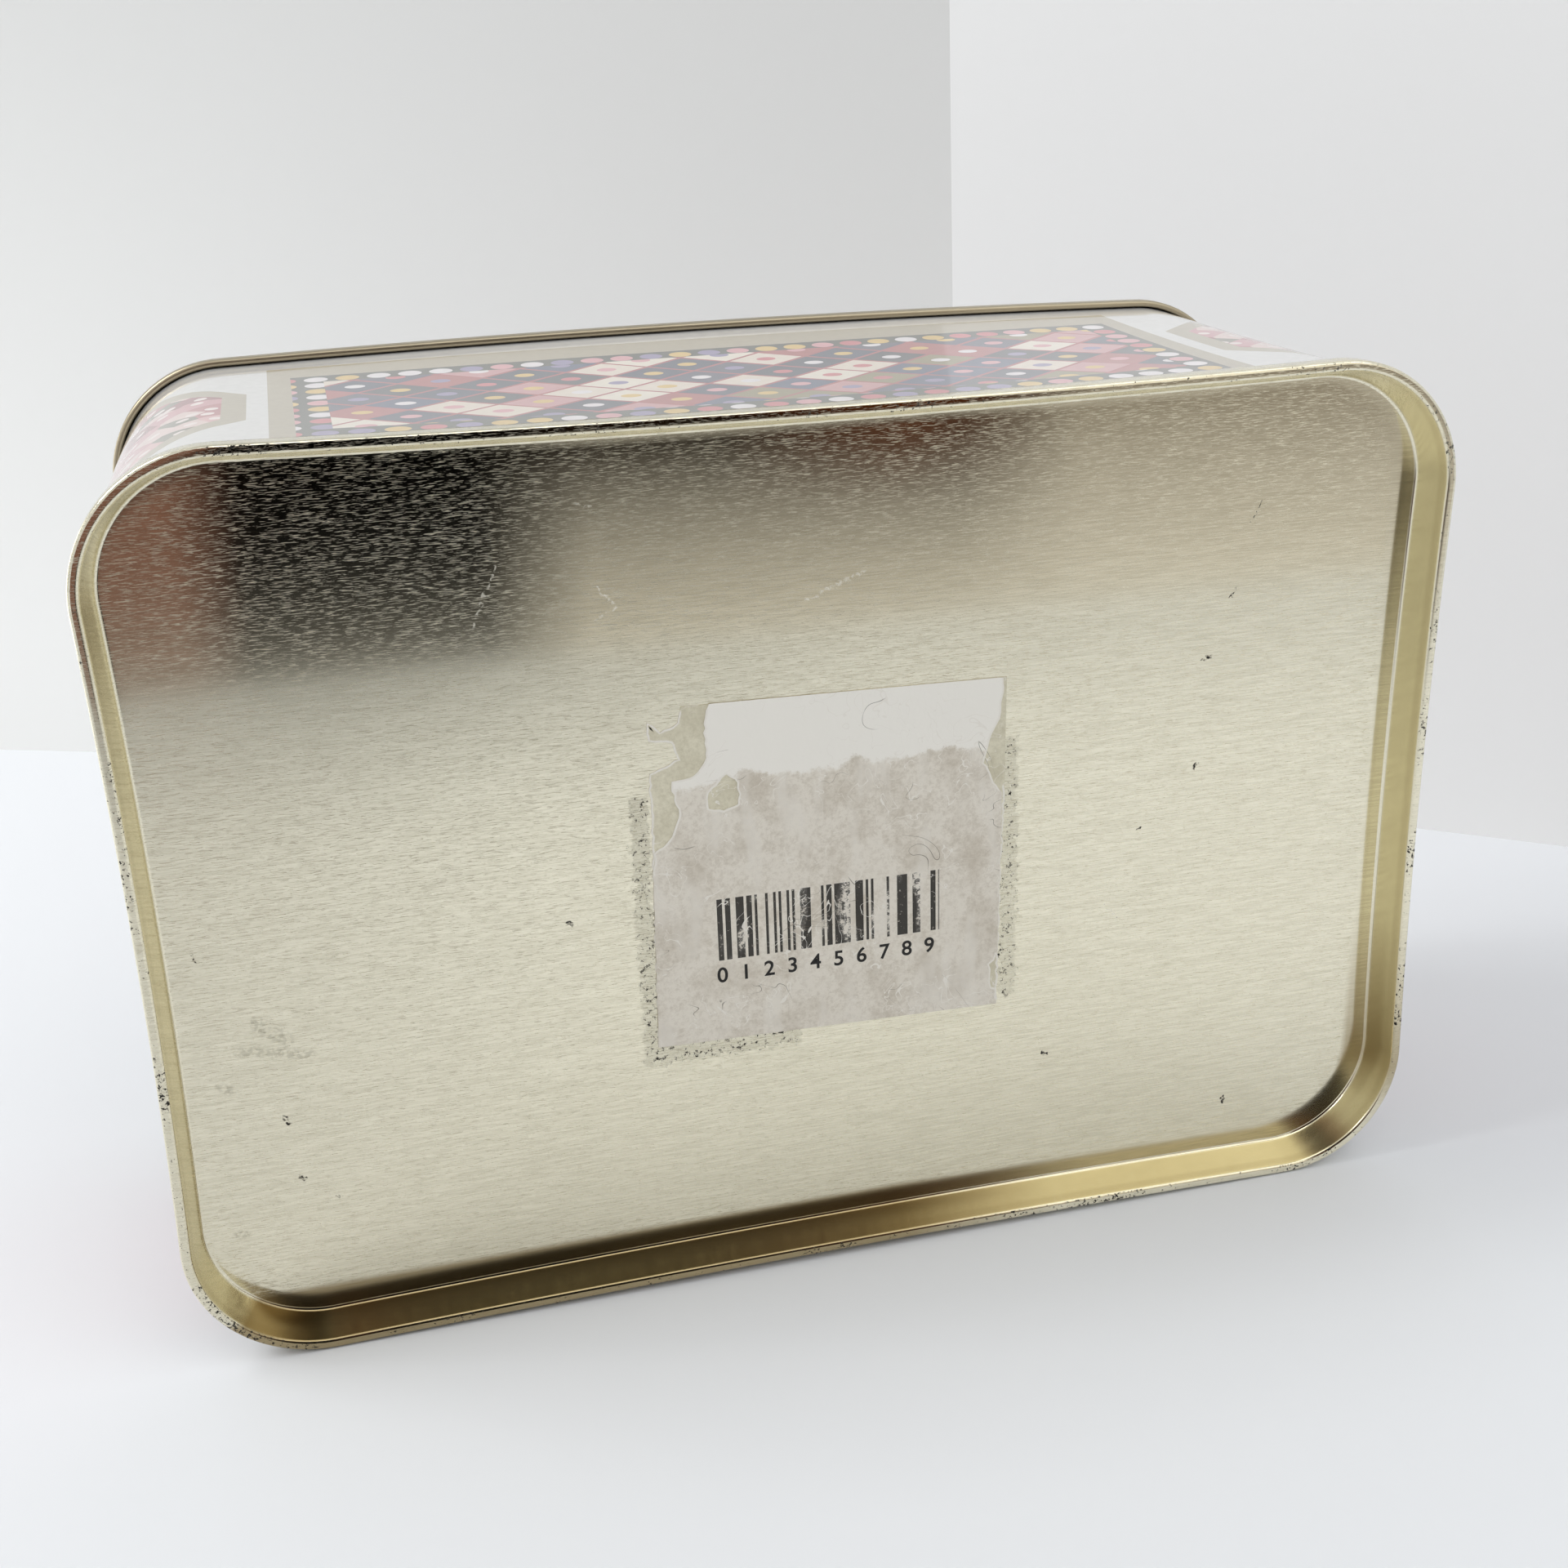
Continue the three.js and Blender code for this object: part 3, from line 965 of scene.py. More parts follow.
    def _pick(self, desk: NodeDesk, chance: Source, inks: tuple[str, ...]) -> Node:
        """Picks one of the inks by chance.

        Args:
            desk: the material's nodes.
            chance: a number from 0 to 1.
            inks: their sRGB hex values.

        Returns:
            The colour.
        """
        chart = desk.add("ValToRGB", chance)
        chart.color_ramp.interpolation = "CONSTANT"
        while len(chart.color_ramp.elements) < len(inks):
            chart.color_ramp.elements.new(0.5)
        for place, (element, ink) in enumerate(zip(chart.color_ramp.elements, inks)):
            element.position = place / len(inks)
            element.color = srgb(ink)
        return chart


@dataclass(frozen=True)
class StickerPaper:
    """Uncoated sticker paper: matt, stained and rubbed, with white fibres at its tears."""

    name: str
    clean: str
    stain: str
    smudge: str
    clean_above: float | None = None
    fibre: str = "#e6e1d7"
    hair: str = "#5d5547"
    ink: str = "#1d1b19"
    bars_low: Point = (-14.2, 5.0)
    bars_high: Point = (16.4, 13.8)
    bar_pitch: float = 0.36

    def material(self) -> bpy.types.Material:
        """Makes the paper's finish, and on the layer with a clean part its plain bars too.

        Returns:
            The material.
        """
        material, desk, shader = new_material(self.name)
        blots = desk.add("TexNoise", desk.place, 0.16, 5.0, 0.62)
        fuzz = desk.add("TexNoise", desk.place, 1.6, 6.0, 0.75)
        both = desk.add("Math", fuzz, 0.35, blots, operation="MULTIPLY_ADD")
        colour, below = srgb(self.clean), 1.0
        stained = desk.add("MapRange", both, 0.5, 0.8)
        if self.clean_above is not None:
            ragged = desk.add("Math", fuzz, 1.5, desk.axes["Y"], operation="MULTIPLY_ADD")
            ragged = desk.add("Math", blots, 7.0, ragged, operation="MULTIPLY_ADD")
            below = desk.add("MapRange", ragged, self.clean_above + 4.0, self.clean_above + 4.7)
            colour = desk.wash(colour, below, 1.0, self.stain)
            stained = desk.add("MapRange", both, 0.62, 0.88)
            stained = desk.add("Math", below, stained, operation="MULTIPLY")
        colour = desk.wash(colour, stained, 0.65, self.smudge)
        mottled = desk.add("MapRange", fuzz, 0.46, 0.62)
        mottled = desk.add("Math", mottled, below, operation="MULTIPLY")
        colour = desk.wash(colour, mottled, 0.35, self.smudge)
        if self.clean_above is not None:
            scuffs = self._scuffs(desk, fuzz)
            rubbed = desk.add("Math", scuffs, 0.32, fuzz, operation="MULTIPLY_ADD")
            rubbed = desk.add("MapRange", rubbed, 0.7, 0.6)
            bars = desk.add("Math", self._bars(desk), rubbed, operation="MULTIPLY")
            colour = desk.wash(colour, bars, 0.94, self.ink)
            pale = desk.add("Math", scuffs, below, operation="MULTIPLY")
            colour = desk.wash(colour, pale, 0.5, self.fibre)
        for scale, width, room, shade, share in (
            (0.22, 0.006, 0.5, self.fibre, 0.9),
            (0.09, 0.0016, 0.6, self.hair, 0.7),
        ):
            colour = desk.wash(colour, self._threads(desk, scale, width, room), share, shade)
        torn = desk.add("Attribute", attribute_name="torn").outputs["Fac"]
        fringe = desk.add("Math", torn, fuzz, operation="MULTIPLY")
        fringe = desk.add("MapRange", fringe, 0.2, 0.34)
        desk.feed(shader, {
            "Base Color": desk.wash(colour, fringe, 1.0, self.fibre),
            "Normal": desk.add("Bump", 0.7, 0.12 * MM, None, both),
            "Roughness": 0.82,
            "Specular IOR Level": 0.35,
        })
        return material

    def _scuffs(self, desk: NodeDesk, fuzz: Node) -> Node:
        """Masks the upright stretches where the paper's face is rubbed pale.

        Args:
            desk: the material's nodes.
            fuzz: the paper's fine noise, which breaks them up.

        Returns:
            The mask.
        """
        drawn = desk.add("Mapping", desk.place, (4.2, 0, 0), None, (0.3, 0.07, 0.0))
        wide = desk.add("MapRange", desk.add("TexNoise", drawn, 1.0, 2.0), 0.53, 0.66)
        fine = desk.add("MapRange", fuzz, 0.36, 0.56)
        return desk.add("Math", wide, fine, operation="MULTIPLY")

    def _bars(self, desk: NodeDesk) -> Node:
        """Masks a block of plain bars of chance widths, which stand for no number.

        Args:
            desk: the material's nodes.

        Returns:
            The mask.
        """
        number = desk.add("Math", desk.axes["X"], self.bar_pitch, operation="DIVIDE")
        cell = desk.add("Math", number, operation="FLOOR")
        chance = desk.add("TexWhiteNoise", cell, noise_dimensions="1D").outputs["Value"]
        mask = desk.add("Math", chance, 0.47, operation="GREATER_THAN")
        for axis, low, high in zip("XY", self.bars_low, self.bars_high):
            block = desk.near(desk.axes[axis], (low + high) / 2, (high - low) / 2, 0.01)
            mask = desk.add("Math", mask, block, operation="MULTIPLY")
        return mask

    def _threads(self, desk: NodeDesk, scale: float, width: float, room: float) -> Node:
        """Masks curling threads: the lines along which a noise keeps one value, in some places only.

        Args:
            desk: the material's nodes.
            scale: curls to a millimetre.
            width: how far the noise may be from its middle value on a thread.
            room: above 0.5, fewer places have threads.

        Returns:
            The mask.
        """
        curls = desk.add("TexNoise", desk.place, scale, 2.0, None, None, 1.2)
        patches = desk.add("TexNoise", desk.place, 0.13, 1.0, None, None, 0.4)
        patches = desk.add("MapRange", patches, room, room + 0.04)
        return desk.add("Math", desk.near(curls, 0.5, width), patches, operation="MULTIPLY")


# ---------------------------------------------------------------- the box


class Layer(IntEnum):
    """The layers of the double seam, counted from its outer face inward."""

    SEAM_WALL = 0
    BODY_HOOK = 1
    COVER_HOOK = 2
    BODY_WALL = 3
    RECESS_WALL = 4


@dataclass(frozen=True)
class DoubleSeam:
    """The folded seam that joins the bottom to the body, and on which the box stands."""

    sheet: float = 0.25
    gap: float = 0.04
    high: float = 3.0
    rest_flat: float = 0.4
    hook_clear: float = 0.15

    @property
    def pitch(self) -> float:
        """Distance from one layer's middle to the next."""
        return self.sheet + self.gap

    def layer(self, number: Layer) -> float:
        """Returns the inset of a layer's middle."""
        return self.sheet / 2 + number * self.pitch

    @property
    def fold_top(self) -> float:
        """Height of the centre of the fold round the body hook's end."""
        return self.high - self.pitch - self.sheet / 2

    @property
    def body_fold(self) -> float:
        """Height of the centre of the body's own fold."""
        return self.sheet + self.gap + self.pitch + self.sheet / 2


@dataclass
class BottomEnd:
    """The bottom: hook, seam wall, resting fold, recess wall and sunk panel, in one sheet."""

    outline: BoxOutline
    seam: DoubleSeam
    recess_deep: float = 5.5
    chuck_draft: float = 1.0
    panel_fillet: float = 0.6
    bend_steps: int = 10
    panel_rings: int = 12
    specks: tuple[Mark, ...] = (
        Mark((60.5, -41.0), (59.5, -38.0), 0.06), Mark((57.5, -29.5), (57.0, -28.0), 0.07),
        Mark((54.6, -20.3), (53.2, -19.9), 0.13), Mark((53.4, -5.4), (52.9, -4.6), 0.16),
        Mark((45.2, 2.8), (44.8, 3.4), 0.12), Mark((-79.0, 3.0), (-78.6, 4.0), 0.1),
        Mark((-33.4, 5.4), (-32.8, 5.8), 0.16), Mark((-71.0, 27.0), (-70.6, 28.0), 0.18),
        Mark((-70.3, 36.0), (-69.6, 36.2), 0.15), Mark((-66.0, 39.5), (-65.6, 39.6), 0.14),
        Mark((31.6, 35.3), (32.4, 35.7), 0.14), Mark((60.0, 47.7), (60.3, 48.4), 0.12),
    )
    scratches: tuple[Mark, ...] = (
        Mark((-42.0, -34.0), (-38.6, -41.0), 0.1), Mark((-27.0, -38.0), (-24.6, -35.0), 0.1),
        Mark((-24.6, -35.0), (-27.2, -33.6), 0.1), Mark((-1.0, -33.6), (7.0, -36.6), 0.12),
        Mark((40.5, 14.0), (42.5, 16.4), 0.08), Mark((-29.0, -48.0), (-26.5, -47.4), 0.08),
    )
    smudges: tuple[Mark, ...] = (
        Mark((-72.5, 13.5), (-69.5, 16.0), 0.7), Mark((-75.0, 17.0), (-67.0, 18.5), 0.5),
        Mark((-78.0, 21.5), (-77.0, 22.0), 0.5), Mark((-78.8, 42.8), (-77.6, 43.0), 0.35),
    )
    glue_strips: tuple[Strip, ...] = (
        Strip((-24.8, -10.5), (-22.0, 27.6)), Strip((24.6, -12.5), (27.6, 25.4)),
        Strip((-24.8, 24.6), (-3.0, 28.0)),
    )

    def section(self) -> list[Point]:
        """Draws the sheet's section.

        Returns:
            Its middle line, from the cover hook's end to the panel.
        """
        seam, steps, fillet = self.seam, self.bend_steps, self.panel_fillet
        turn = 2 * seam.pitch - seam.rest_flat / 2
        level = seam.sheet / 2 + turn
        panel = self.recess_deep + seam.sheet / 2
        recess = seam.layer(Layer.RECESS_WALL) + self.chuck_draft
        line = [(seam.layer(Layer.COVER_HOOK), seam.body_fold + seam.hook_clear)]
        line += arc((seam.layer(Layer.BODY_HOOK), seam.fold_top), seam.pitch, 0, 180, steps)
        line += arc((seam.layer(Layer.SEAM_WALL) + turn, level), turn, 180, 270, steps)
        line += arc((seam.layer(Layer.RECESS_WALL) - turn, level), turn, 270, 360, steps)
        line += arc((recess + fillet, panel - fillet), fillet, 180, 90, steps)
        return line

    def build(self) -> bpy.types.Object:
        """Presses the bottom and dresses it.

        Returns:
            The finished bottom.
        """
        press = SheetPress("bottom_end_plate", self.outline)
        press.draw(self.section())
        press.close_panel(self.panel_rings)
        self._map_grain(press.obj)
        gold = GoldTinplate(
            used=True, specks=self.specks, scratches=self.scratches, smudges=self.smudges,
            glue_strips=self.glue_strips,
        )
        before_seam = Vector((0.0, -0.5, 0.0016))
        obj = press.finish(before_seam, self.seam.sheet, [gold.material()])
        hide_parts("bottom_end")
        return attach(obj, "box")

    def _map_grain(self, obj: bpy.types.Object) -> None:
        """Gives the sheet a UV map whose U runs along the rolled grain.

        Args:
            obj: the sheet, still in edit mode.
        """
        bpy.ops.object.mode_set(mode="OBJECT")
        uv = obj.data.uv_layers.new(name="grain")
        span = self.outline.long * MM
        for loop in obj.data.loops:
            spot = obj.data.vertices[loop.vertex_index].co
            uv.data[loop.index].uv = (spot.x / span + 0.5, spot.y / span + 0.5)
        bpy.ops.object.mode_set(mode="EDIT")


@dataclass
class BodyShell:
    """The body: hook, fold, wall and inward roll in one sheet, welded at the rear."""

    outline: BoxOutline
    seam: DoubleSeam
    high: float = 68.2
    wall_draw: float = 0.2
    wall_draw_high: float = 3.0
    roll_radius: float = 0.85
    roll_turn: float = 250.0
    top_wall_in: float = 1.275
    bend_steps: int = 8
    wall_steps: int = 24
    lap_wide: float = 4.0
    lap_bite: float = 0.1
    lap_clear: float = 2.0

    def wall_in(self, level: float) -> float:
        """Finds the inset of the wall's middle.

        Args:
            level: the height, in millimetres.

        Returns:
            The inset there, in millimetres.
        """
        drawn = min(max((level - self.seam.high) / self.wall_draw_high, 0.0), 1.0) * self.wall_draw
        low = self.seam.layer(Layer.BODY_WALL) + drawn
        return mix(low, self.top_wall_in, self.outline.lean_share(level))

    def section(self) -> list[Point]:
        """Draws the sheet's section.

        Returns:
            Its middle line, from the body hook's end to the roll's.
        """
        seam = self.seam
        line = [(seam.layer(Layer.BODY_HOOK), seam.fold_top - seam.hook_clear)]
        line += arc((seam.layer(Layer.COVER_HOOK), seam.body_fold), seam.pitch, 180, 360, self.bend_steps)
        line.append((seam.layer(Layer.BODY_WALL), seam.high))
        for step in range(1, 4):
            level = seam.high + self.wall_draw_high * step / 4
            line.append((self.wall_in(level), level))
        low = seam.high + self.wall_draw_high
        for step in range(self.wall_steps + 1):
            level = mix(low, self.outline.lean_end, step / self.wall_steps)
            line.append((self.wall_in(level), level))
        centre = (self.top_wall_in + self.roll_radius, self.high - self.roll_radius - seam.sheet / 2)
        line += arc(centre, self.roll_radius, 180, 180 - self.roll_turn, 2 * self.bend_steps)
        return line

    def build(self) -> bpy.types.Object:
        """Rolls up the body and dresses it: print outside, gold lacquer inside.

        Returns:
            The finished body.
        """
        press = SheetPress("body_wall", self.outline)
        section = self.section()
        press.draw(section)
        walked = list(accumulate(math.dist(here, there) for here, there in zip(section[:1] + section, section)))
        seam_row = section.index((self.seam.layer(Layer.BODY_WALL), self.seam.high))
        shift = self.seam.high - walked[seam_row]
        finish = PrintedTin(PrintPlace.WALL)
        press.map_print([run + shift for run in walked], finish.round_mm)
        inside = GoldTinplate(name="gold_lacquered_tinplate_inside")
        before_wall = Vector((0.0, -0.5, 0.030))
        obj = press.finish(before_wall, self.seam.sheet, [finish.material(), inside.material()])
        self._weld_lap(obj)
        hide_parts("body_shell")
        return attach(obj, "box")

    def _weld_lap(self, body: bpy.types.Object) -> None:
        """Joins to the body the overlap of its two ends, inside the middle of the rear wall.

        Args:
            body: the pressed body.
        """
        low = self.seam.high + self.lap_clear
        high = self.high - 2 * self.roll_radius - self.seam.sheet - self.lap_clear
        select_only()
        bpy.ops.mesh.primitive_grid_add(x_subdivisions=4, y_subdivisions=self.wall_steps, size=1)
        lap = bpy.context.active_object
        for vertex in lap.data.vertices:
            level = mix(low, high, vertex.co.y + 0.5)
            share = self.outline.lean_share(level)
            corner = self.outline.corner - self.outline.corner_tighten * share
            reach = self.outline.long / 2 - self.outline.ends_lean_in * share - corner
            along = vertex.co.x * self.lap_wide / reach
            inset = self.wall_in(level) + self.seam.sheet - self.lap_bite / 2
            vertex.co = self.outline.point(Station(side=Side.LONG, along=along), inset, level)
        lap.data.materials.append(body.data.materials[1])
        wall = lap.modifiers.new("lap thickness", "SOLIDIFY")
        wall.thickness = (self.seam.sheet + self.lap_bite) * MM
        wall.offset = 0.0
        bpy.ops.object.modifier_apply(modifier=wall.name)
        body.select_set(True)
        bpy.context.view_layer.objects.active = body
        bpy.ops.object.join()


@dataclass
class Lid:
    """The lid: outward curl, skirt, shoulder, border, step and raised panel, in one sheet."""

    outline: BoxOutline
    sheet: float = 0.25
    edge_level: float = 61.24
    shoulder_level: float = 66.49
    shoulder_radius: float = 5.0
    curl_deep: float = 0.95
    curl_high: float = 2.2
    border_wide: float = 5.0
    step_wide: float = 2.0
    panel_rise: float = 1.0
    bend_steps: int = 10
    shoulder_steps: int = 16
    panel_rings: int = 10

    def section(self) -> list[Point]:
        """Draws the sheet's section.

        Returns:
            Its middle line, from the curl's end to the raised panel.
        """
        skirt_in = self.curl_deep - self.sheet / 2
        curl = (self.curl_deep - self.sheet) / 2
        middle = self.curl_deep / 2
        curl_top = self.edge_level + self.curl_high - self.sheet / 2 - curl
        curl_foot = self.edge_level + self.sheet / 2 + curl
        line = arc((middle, curl_top), curl, 90, 180, self.bend_steps // 2)
        line += arc((middle, curl_foot), curl, 180, 360, self.bend_steps)
        for step in range(1, 4):
            line.append((skirt_in, mix(curl_foot, self.shoulder_level, step / 4)))
        shoulder_in = skirt_in + self.shoulder_radius
        line += arc((shoulder_in, self.shoulder_level), self.shoulder_radius, 180, 90, self.shoulder_steps)
        border_in = shoulder_in + self.border_wide
        top = self.shoulder_level + self.shoulder_radius
        for step in range(self.bend_steps + 1):
            share = step / self.bend_steps
            rise = self.panel_rise * share * share * (3 - 2 * share)
            line.append((border_in + self.step_wide * share, top + rise))
        return line

    def build(self) -> bpy.types.Object:
        """Presses the lid and dresses it: print outside, and inside and on its curl a darker copy of the gold
        lacquer, whose darkness is painted shade.

        Returns:
            The finished lid.
        """
        press = SheetPress("lid_cover", self.outline)
        press.draw(self.section())
        press.close_panel(self.panel_rings)
        # A darker, greyer copy of the gold lacquer: its darkness is painted shade on the far curl. It is also
        # rougher.
        inside = GoldTinplate(
            name="gold_tinplate_lid_painted_shade", metal="#b3a890", dash="#a79c84", smooth=0.34, coarse=0.44,
            grain_depth=0.001,
        )
        over_lid = Vector((0.0, 0.0, 0.5))
        finishes = [PrintedTin(PrintPlace.LID).material(), inside.material()]
        obj = press.finish(over_lid, self.sheet, finishes)
        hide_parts("lid")
        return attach(obj, "lid")


@dataclass
class StickerPly:
    """One layer of the paper sticker on the sunk bottom, cut and torn along an outline."""

    name: str
    node: str
    slot: str
    finish: StickerPaper
    edge: tuple[Point, ...]
    clean_runs: tuple[int, ...]
    low: float
    hole: tuple[Point, ...] = ()
    side: float = 47.4
    shift: Point = (1.2, 2.3)
    thick: float = 0.1
    fibre_pitch: float = 0.7
    fray: float = 0.16
    cut_fray: float = 0.015
    fringe_wide: float = 0.55
    seed: int = 7
    digits: str = ""
    digits_low: Point = (-14.4, 16.9)
    digits_size: float = 3.0
    digits_apart: float = 1.28
    digits_bold: float = 0.05
    ink_thick: float = 0.008

    def outline(
        self, edge: tuple[Point, ...], clean: tuple[int, ...], chance: random.Random,
    ) -> list[tuple[float, float, float]]:
        """Walks an outline of shares of the side and frays its torn runs.

        Args:
            edge: the outline's corners.
            clean: numbers of the runs that were cut and not torn.
            chance: where the fraying comes from.

        Returns:
            X, Y and a mark of 1 where the edge is torn, for each point.
        """
        found: list[tuple[float, float, float]] = []
        for number, (start, end) in enumerate(zip(edge, edge[1:] + edge[:1])):
            run = self.side * math.dist(start, end)
            steps = max(1, round(run / self.fibre_pitch))
            fray = self.cut_fray if number in clean else self.fray
            for step in range(steps):
                share = step / steps
                x = self.shift[0] + self.side * mix(start[0], end[0], share) + chance.uniform(-fray, fray)
                y = self.shift[1] + self.side * mix(start[1], end[1], share) + chance.uniform(-fray, fray)
                found.append((x, y, 0.0 if number in clean else 1.0))
        return found

    def build(self) -> bpy.types.Object:
        """Cuts the layer, gives it a fringe at its tears and its thickness.

        Returns:
            The finished layer.
        """
        chance = random.Random(self.seed)
        loops = [self.outline(self.edge, self.clean_runs, chance)]
        if self.hole:
            loops.append(self.outline(self.hole, (), chance))
        obj = self._draw(loops)
        bpy.ops.mesh.select_all(action="SELECT")
        bpy.ops.mesh.fill()
        bpy.ops.mesh.inset(thickness=self.fringe_wide * MM, use_boundary=True, use_even_offset=False)
        mesh = bmesh.from_edit_mesh(obj.data)
        torn = mesh.verts.layers.float["torn"]
        for vertex in mesh.verts:
            if not vertex.is_boundary:
                vertex[torn] = 0.0
        bmesh.update_edit_mesh(obj.data)
        bpy.ops.mesh.select_all(action="SELECT")
        bpy.ops.mesh.extrude_region_move(TRANSFORM_OT_translate={"value": (0, 0, -self.thick * MM)})
        bpy.ops.mesh.select_all(action="SELECT")
        bpy.ops.mesh.normals_make_consistent(inside=False)
        bpy.ops.object.mode_set(mode="OBJECT")
        obj.data.materials.append(self.finish.material())
        if self.digits:
            self._print_digits(obj)
        select_only(obj)
        bpy.ops.object.shade_smooth_by_angle(angle=math.radians(30))
        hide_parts(self.node)
        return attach(obj, "box")

    def _draw(self, loops: list[list[tuple[float, float, float]]]) -> bpy.types.Object:
        """Draws the layer's edge and the edge of its hole.

        Args:
            loops: X, Y and the torn mark of each point, for each edge.

        Returns:
            The layer's object, in edit mode.
        """
        select_only()
        obj = None
        for loop in loops:
            if obj is not None:
                bpy.ops.mesh.select_all(action="DESELECT")
            bpy.ops.mesh.primitive_circle_add(vertices=len(loop), fill_type="NOTHING", calc_uvs=False)
            if obj is None:
                obj = bpy.context.active_object
                obj.name = obj.data.name = self.name
                bpy.ops.object.mode_set(mode="EDIT")
            mesh = bmesh.from_edit_mesh(obj.data)
            torn = mesh.verts.layers.float.get("torn") or mesh.verts.layers.float.new("torn")
            for vertex, (x, y, fray) in zip([v for v in mesh.verts if v.select], loop):
                vertex.co = Vector((x, y, self.low + self.thick)) * MM
                vertex[torn] = fray
            bmesh.update_edit_mesh(obj.data)
        return obj

    def _print_digits(self, obj: bpy.types.Object) -> None:
        """Prints a row of plain digits on the layer, each a skin of ink.

        Args:
            obj: the layer, which the digits join.
        """
        select_only()
        spot = Vector((*self.digits_low, self.low)) * MM
        bpy.ops.object.text_add(location=spot, rotation=(math.pi, 0, 0))
        row = bpy.context.active_object
        row.data.body = self.digits
        row.data.size = self.digits_size * MM
        row.data.extrude = self.ink_thick * MM
        row.data.space_character = self.digits_apart
        row.data.offset = self.digits_bold * MM
        bpy.ops.object.convert(target="MESH")
        bpy.ops.object.transform_apply(location=True, rotation=True, scale=True)
        for layer in list(row.data.uv_layers):
            row.data.uv_layers.remove(layer)
        bpy.ops.object.mode_set(mode="EDIT")
        bpy.ops.mesh.select_all(action="SELECT")
        bpy.ops.mesh.remove_doubles(threshold=0.001 * MM)
        bpy.ops.mesh.normals_make_consistent(inside=False)
        bpy.ops.object.mode_set(mode="OBJECT")
        ink, desk, shader = new_material("black_label_ink")
        desk.feed(shader, {"Base Color": srgb(self.finish.ink), "Roughness": 0.7})
        row.data.materials.append(ink)
        obj.select_set(True)
        bpy.context.view_layer.objects.active = obj
        bpy.ops.object.join()


def sticker_plies() -> list[StickerPly]:
    """Describes the sticker's two layers.

    Returns:
        The layers, the one on the tin first.
    """
    lower = StickerPly(
        "sticker_backing", "label_lower_ply", "stained_paper",
        StickerPaper("stained_paper_backing", "#dfd9c3", "#dfd9c3", "#bdb59c"),
        (
            (-0.39, -0.504), (0.516, -0.487), (0.513, -0.17), (0.505, 0.07), (0.495, 0.508),
            (-0.505, 0.483), (-0.495, 0.13), (-0.484, -0.327), (-0.405, -0.36), (-0.42, -0.41),
            (-0.484, -0.416), (-0.481, -0.47), (-0.45, -0.44), (-0.4, -0.458),
        ),
        (0, 1, 4), 5.4, seed=11,
    )
    upper = StickerPly(
        "sticker_face", "label_upper_ply", "white_paper",
        StickerPaper("white_sticker_paper", "#ece8df", "#dfd8cb", "#b9ae9d", clean_above=-11.5),
        (
            (-0.316, -0.504), (0.508, -0.486), (0.497, -0.37), (0.464, -0.304), (0.452, -0.247),
            (0.481, -0.186), (0.505, -0.15), (0.495, 0.35), (0.474, 0.378), (0.476, 0.451),
            (0.495, 0.46), (0.494, 0.507), (-0.504, 0.482), (-0.49, -0.044), (-0.484, -0.101),
            (-0.437, -0.141), (-0.41, -0.203), (-0.426, -0.274), (-0.428, -0.3), (-0.367, -0.308),
            (-0.331, -0.352), (-0.333, -0.423), (-0.327, -0.485),
        ),
        (0, 6, 11, 12), 5.3,
        hole=(
            (-0.278, -0.3), (-0.247, -0.274), (-0.247, -0.212), (-0.287, -0.198), (-0.331, -0.207),
            (-0.327, -0.255),
        ),
        seed=23, digits="0 1 2 3 4 5 6 7 8 9",
    )
    return [lower, upper]


# ---------------------------------------------------------------- studio


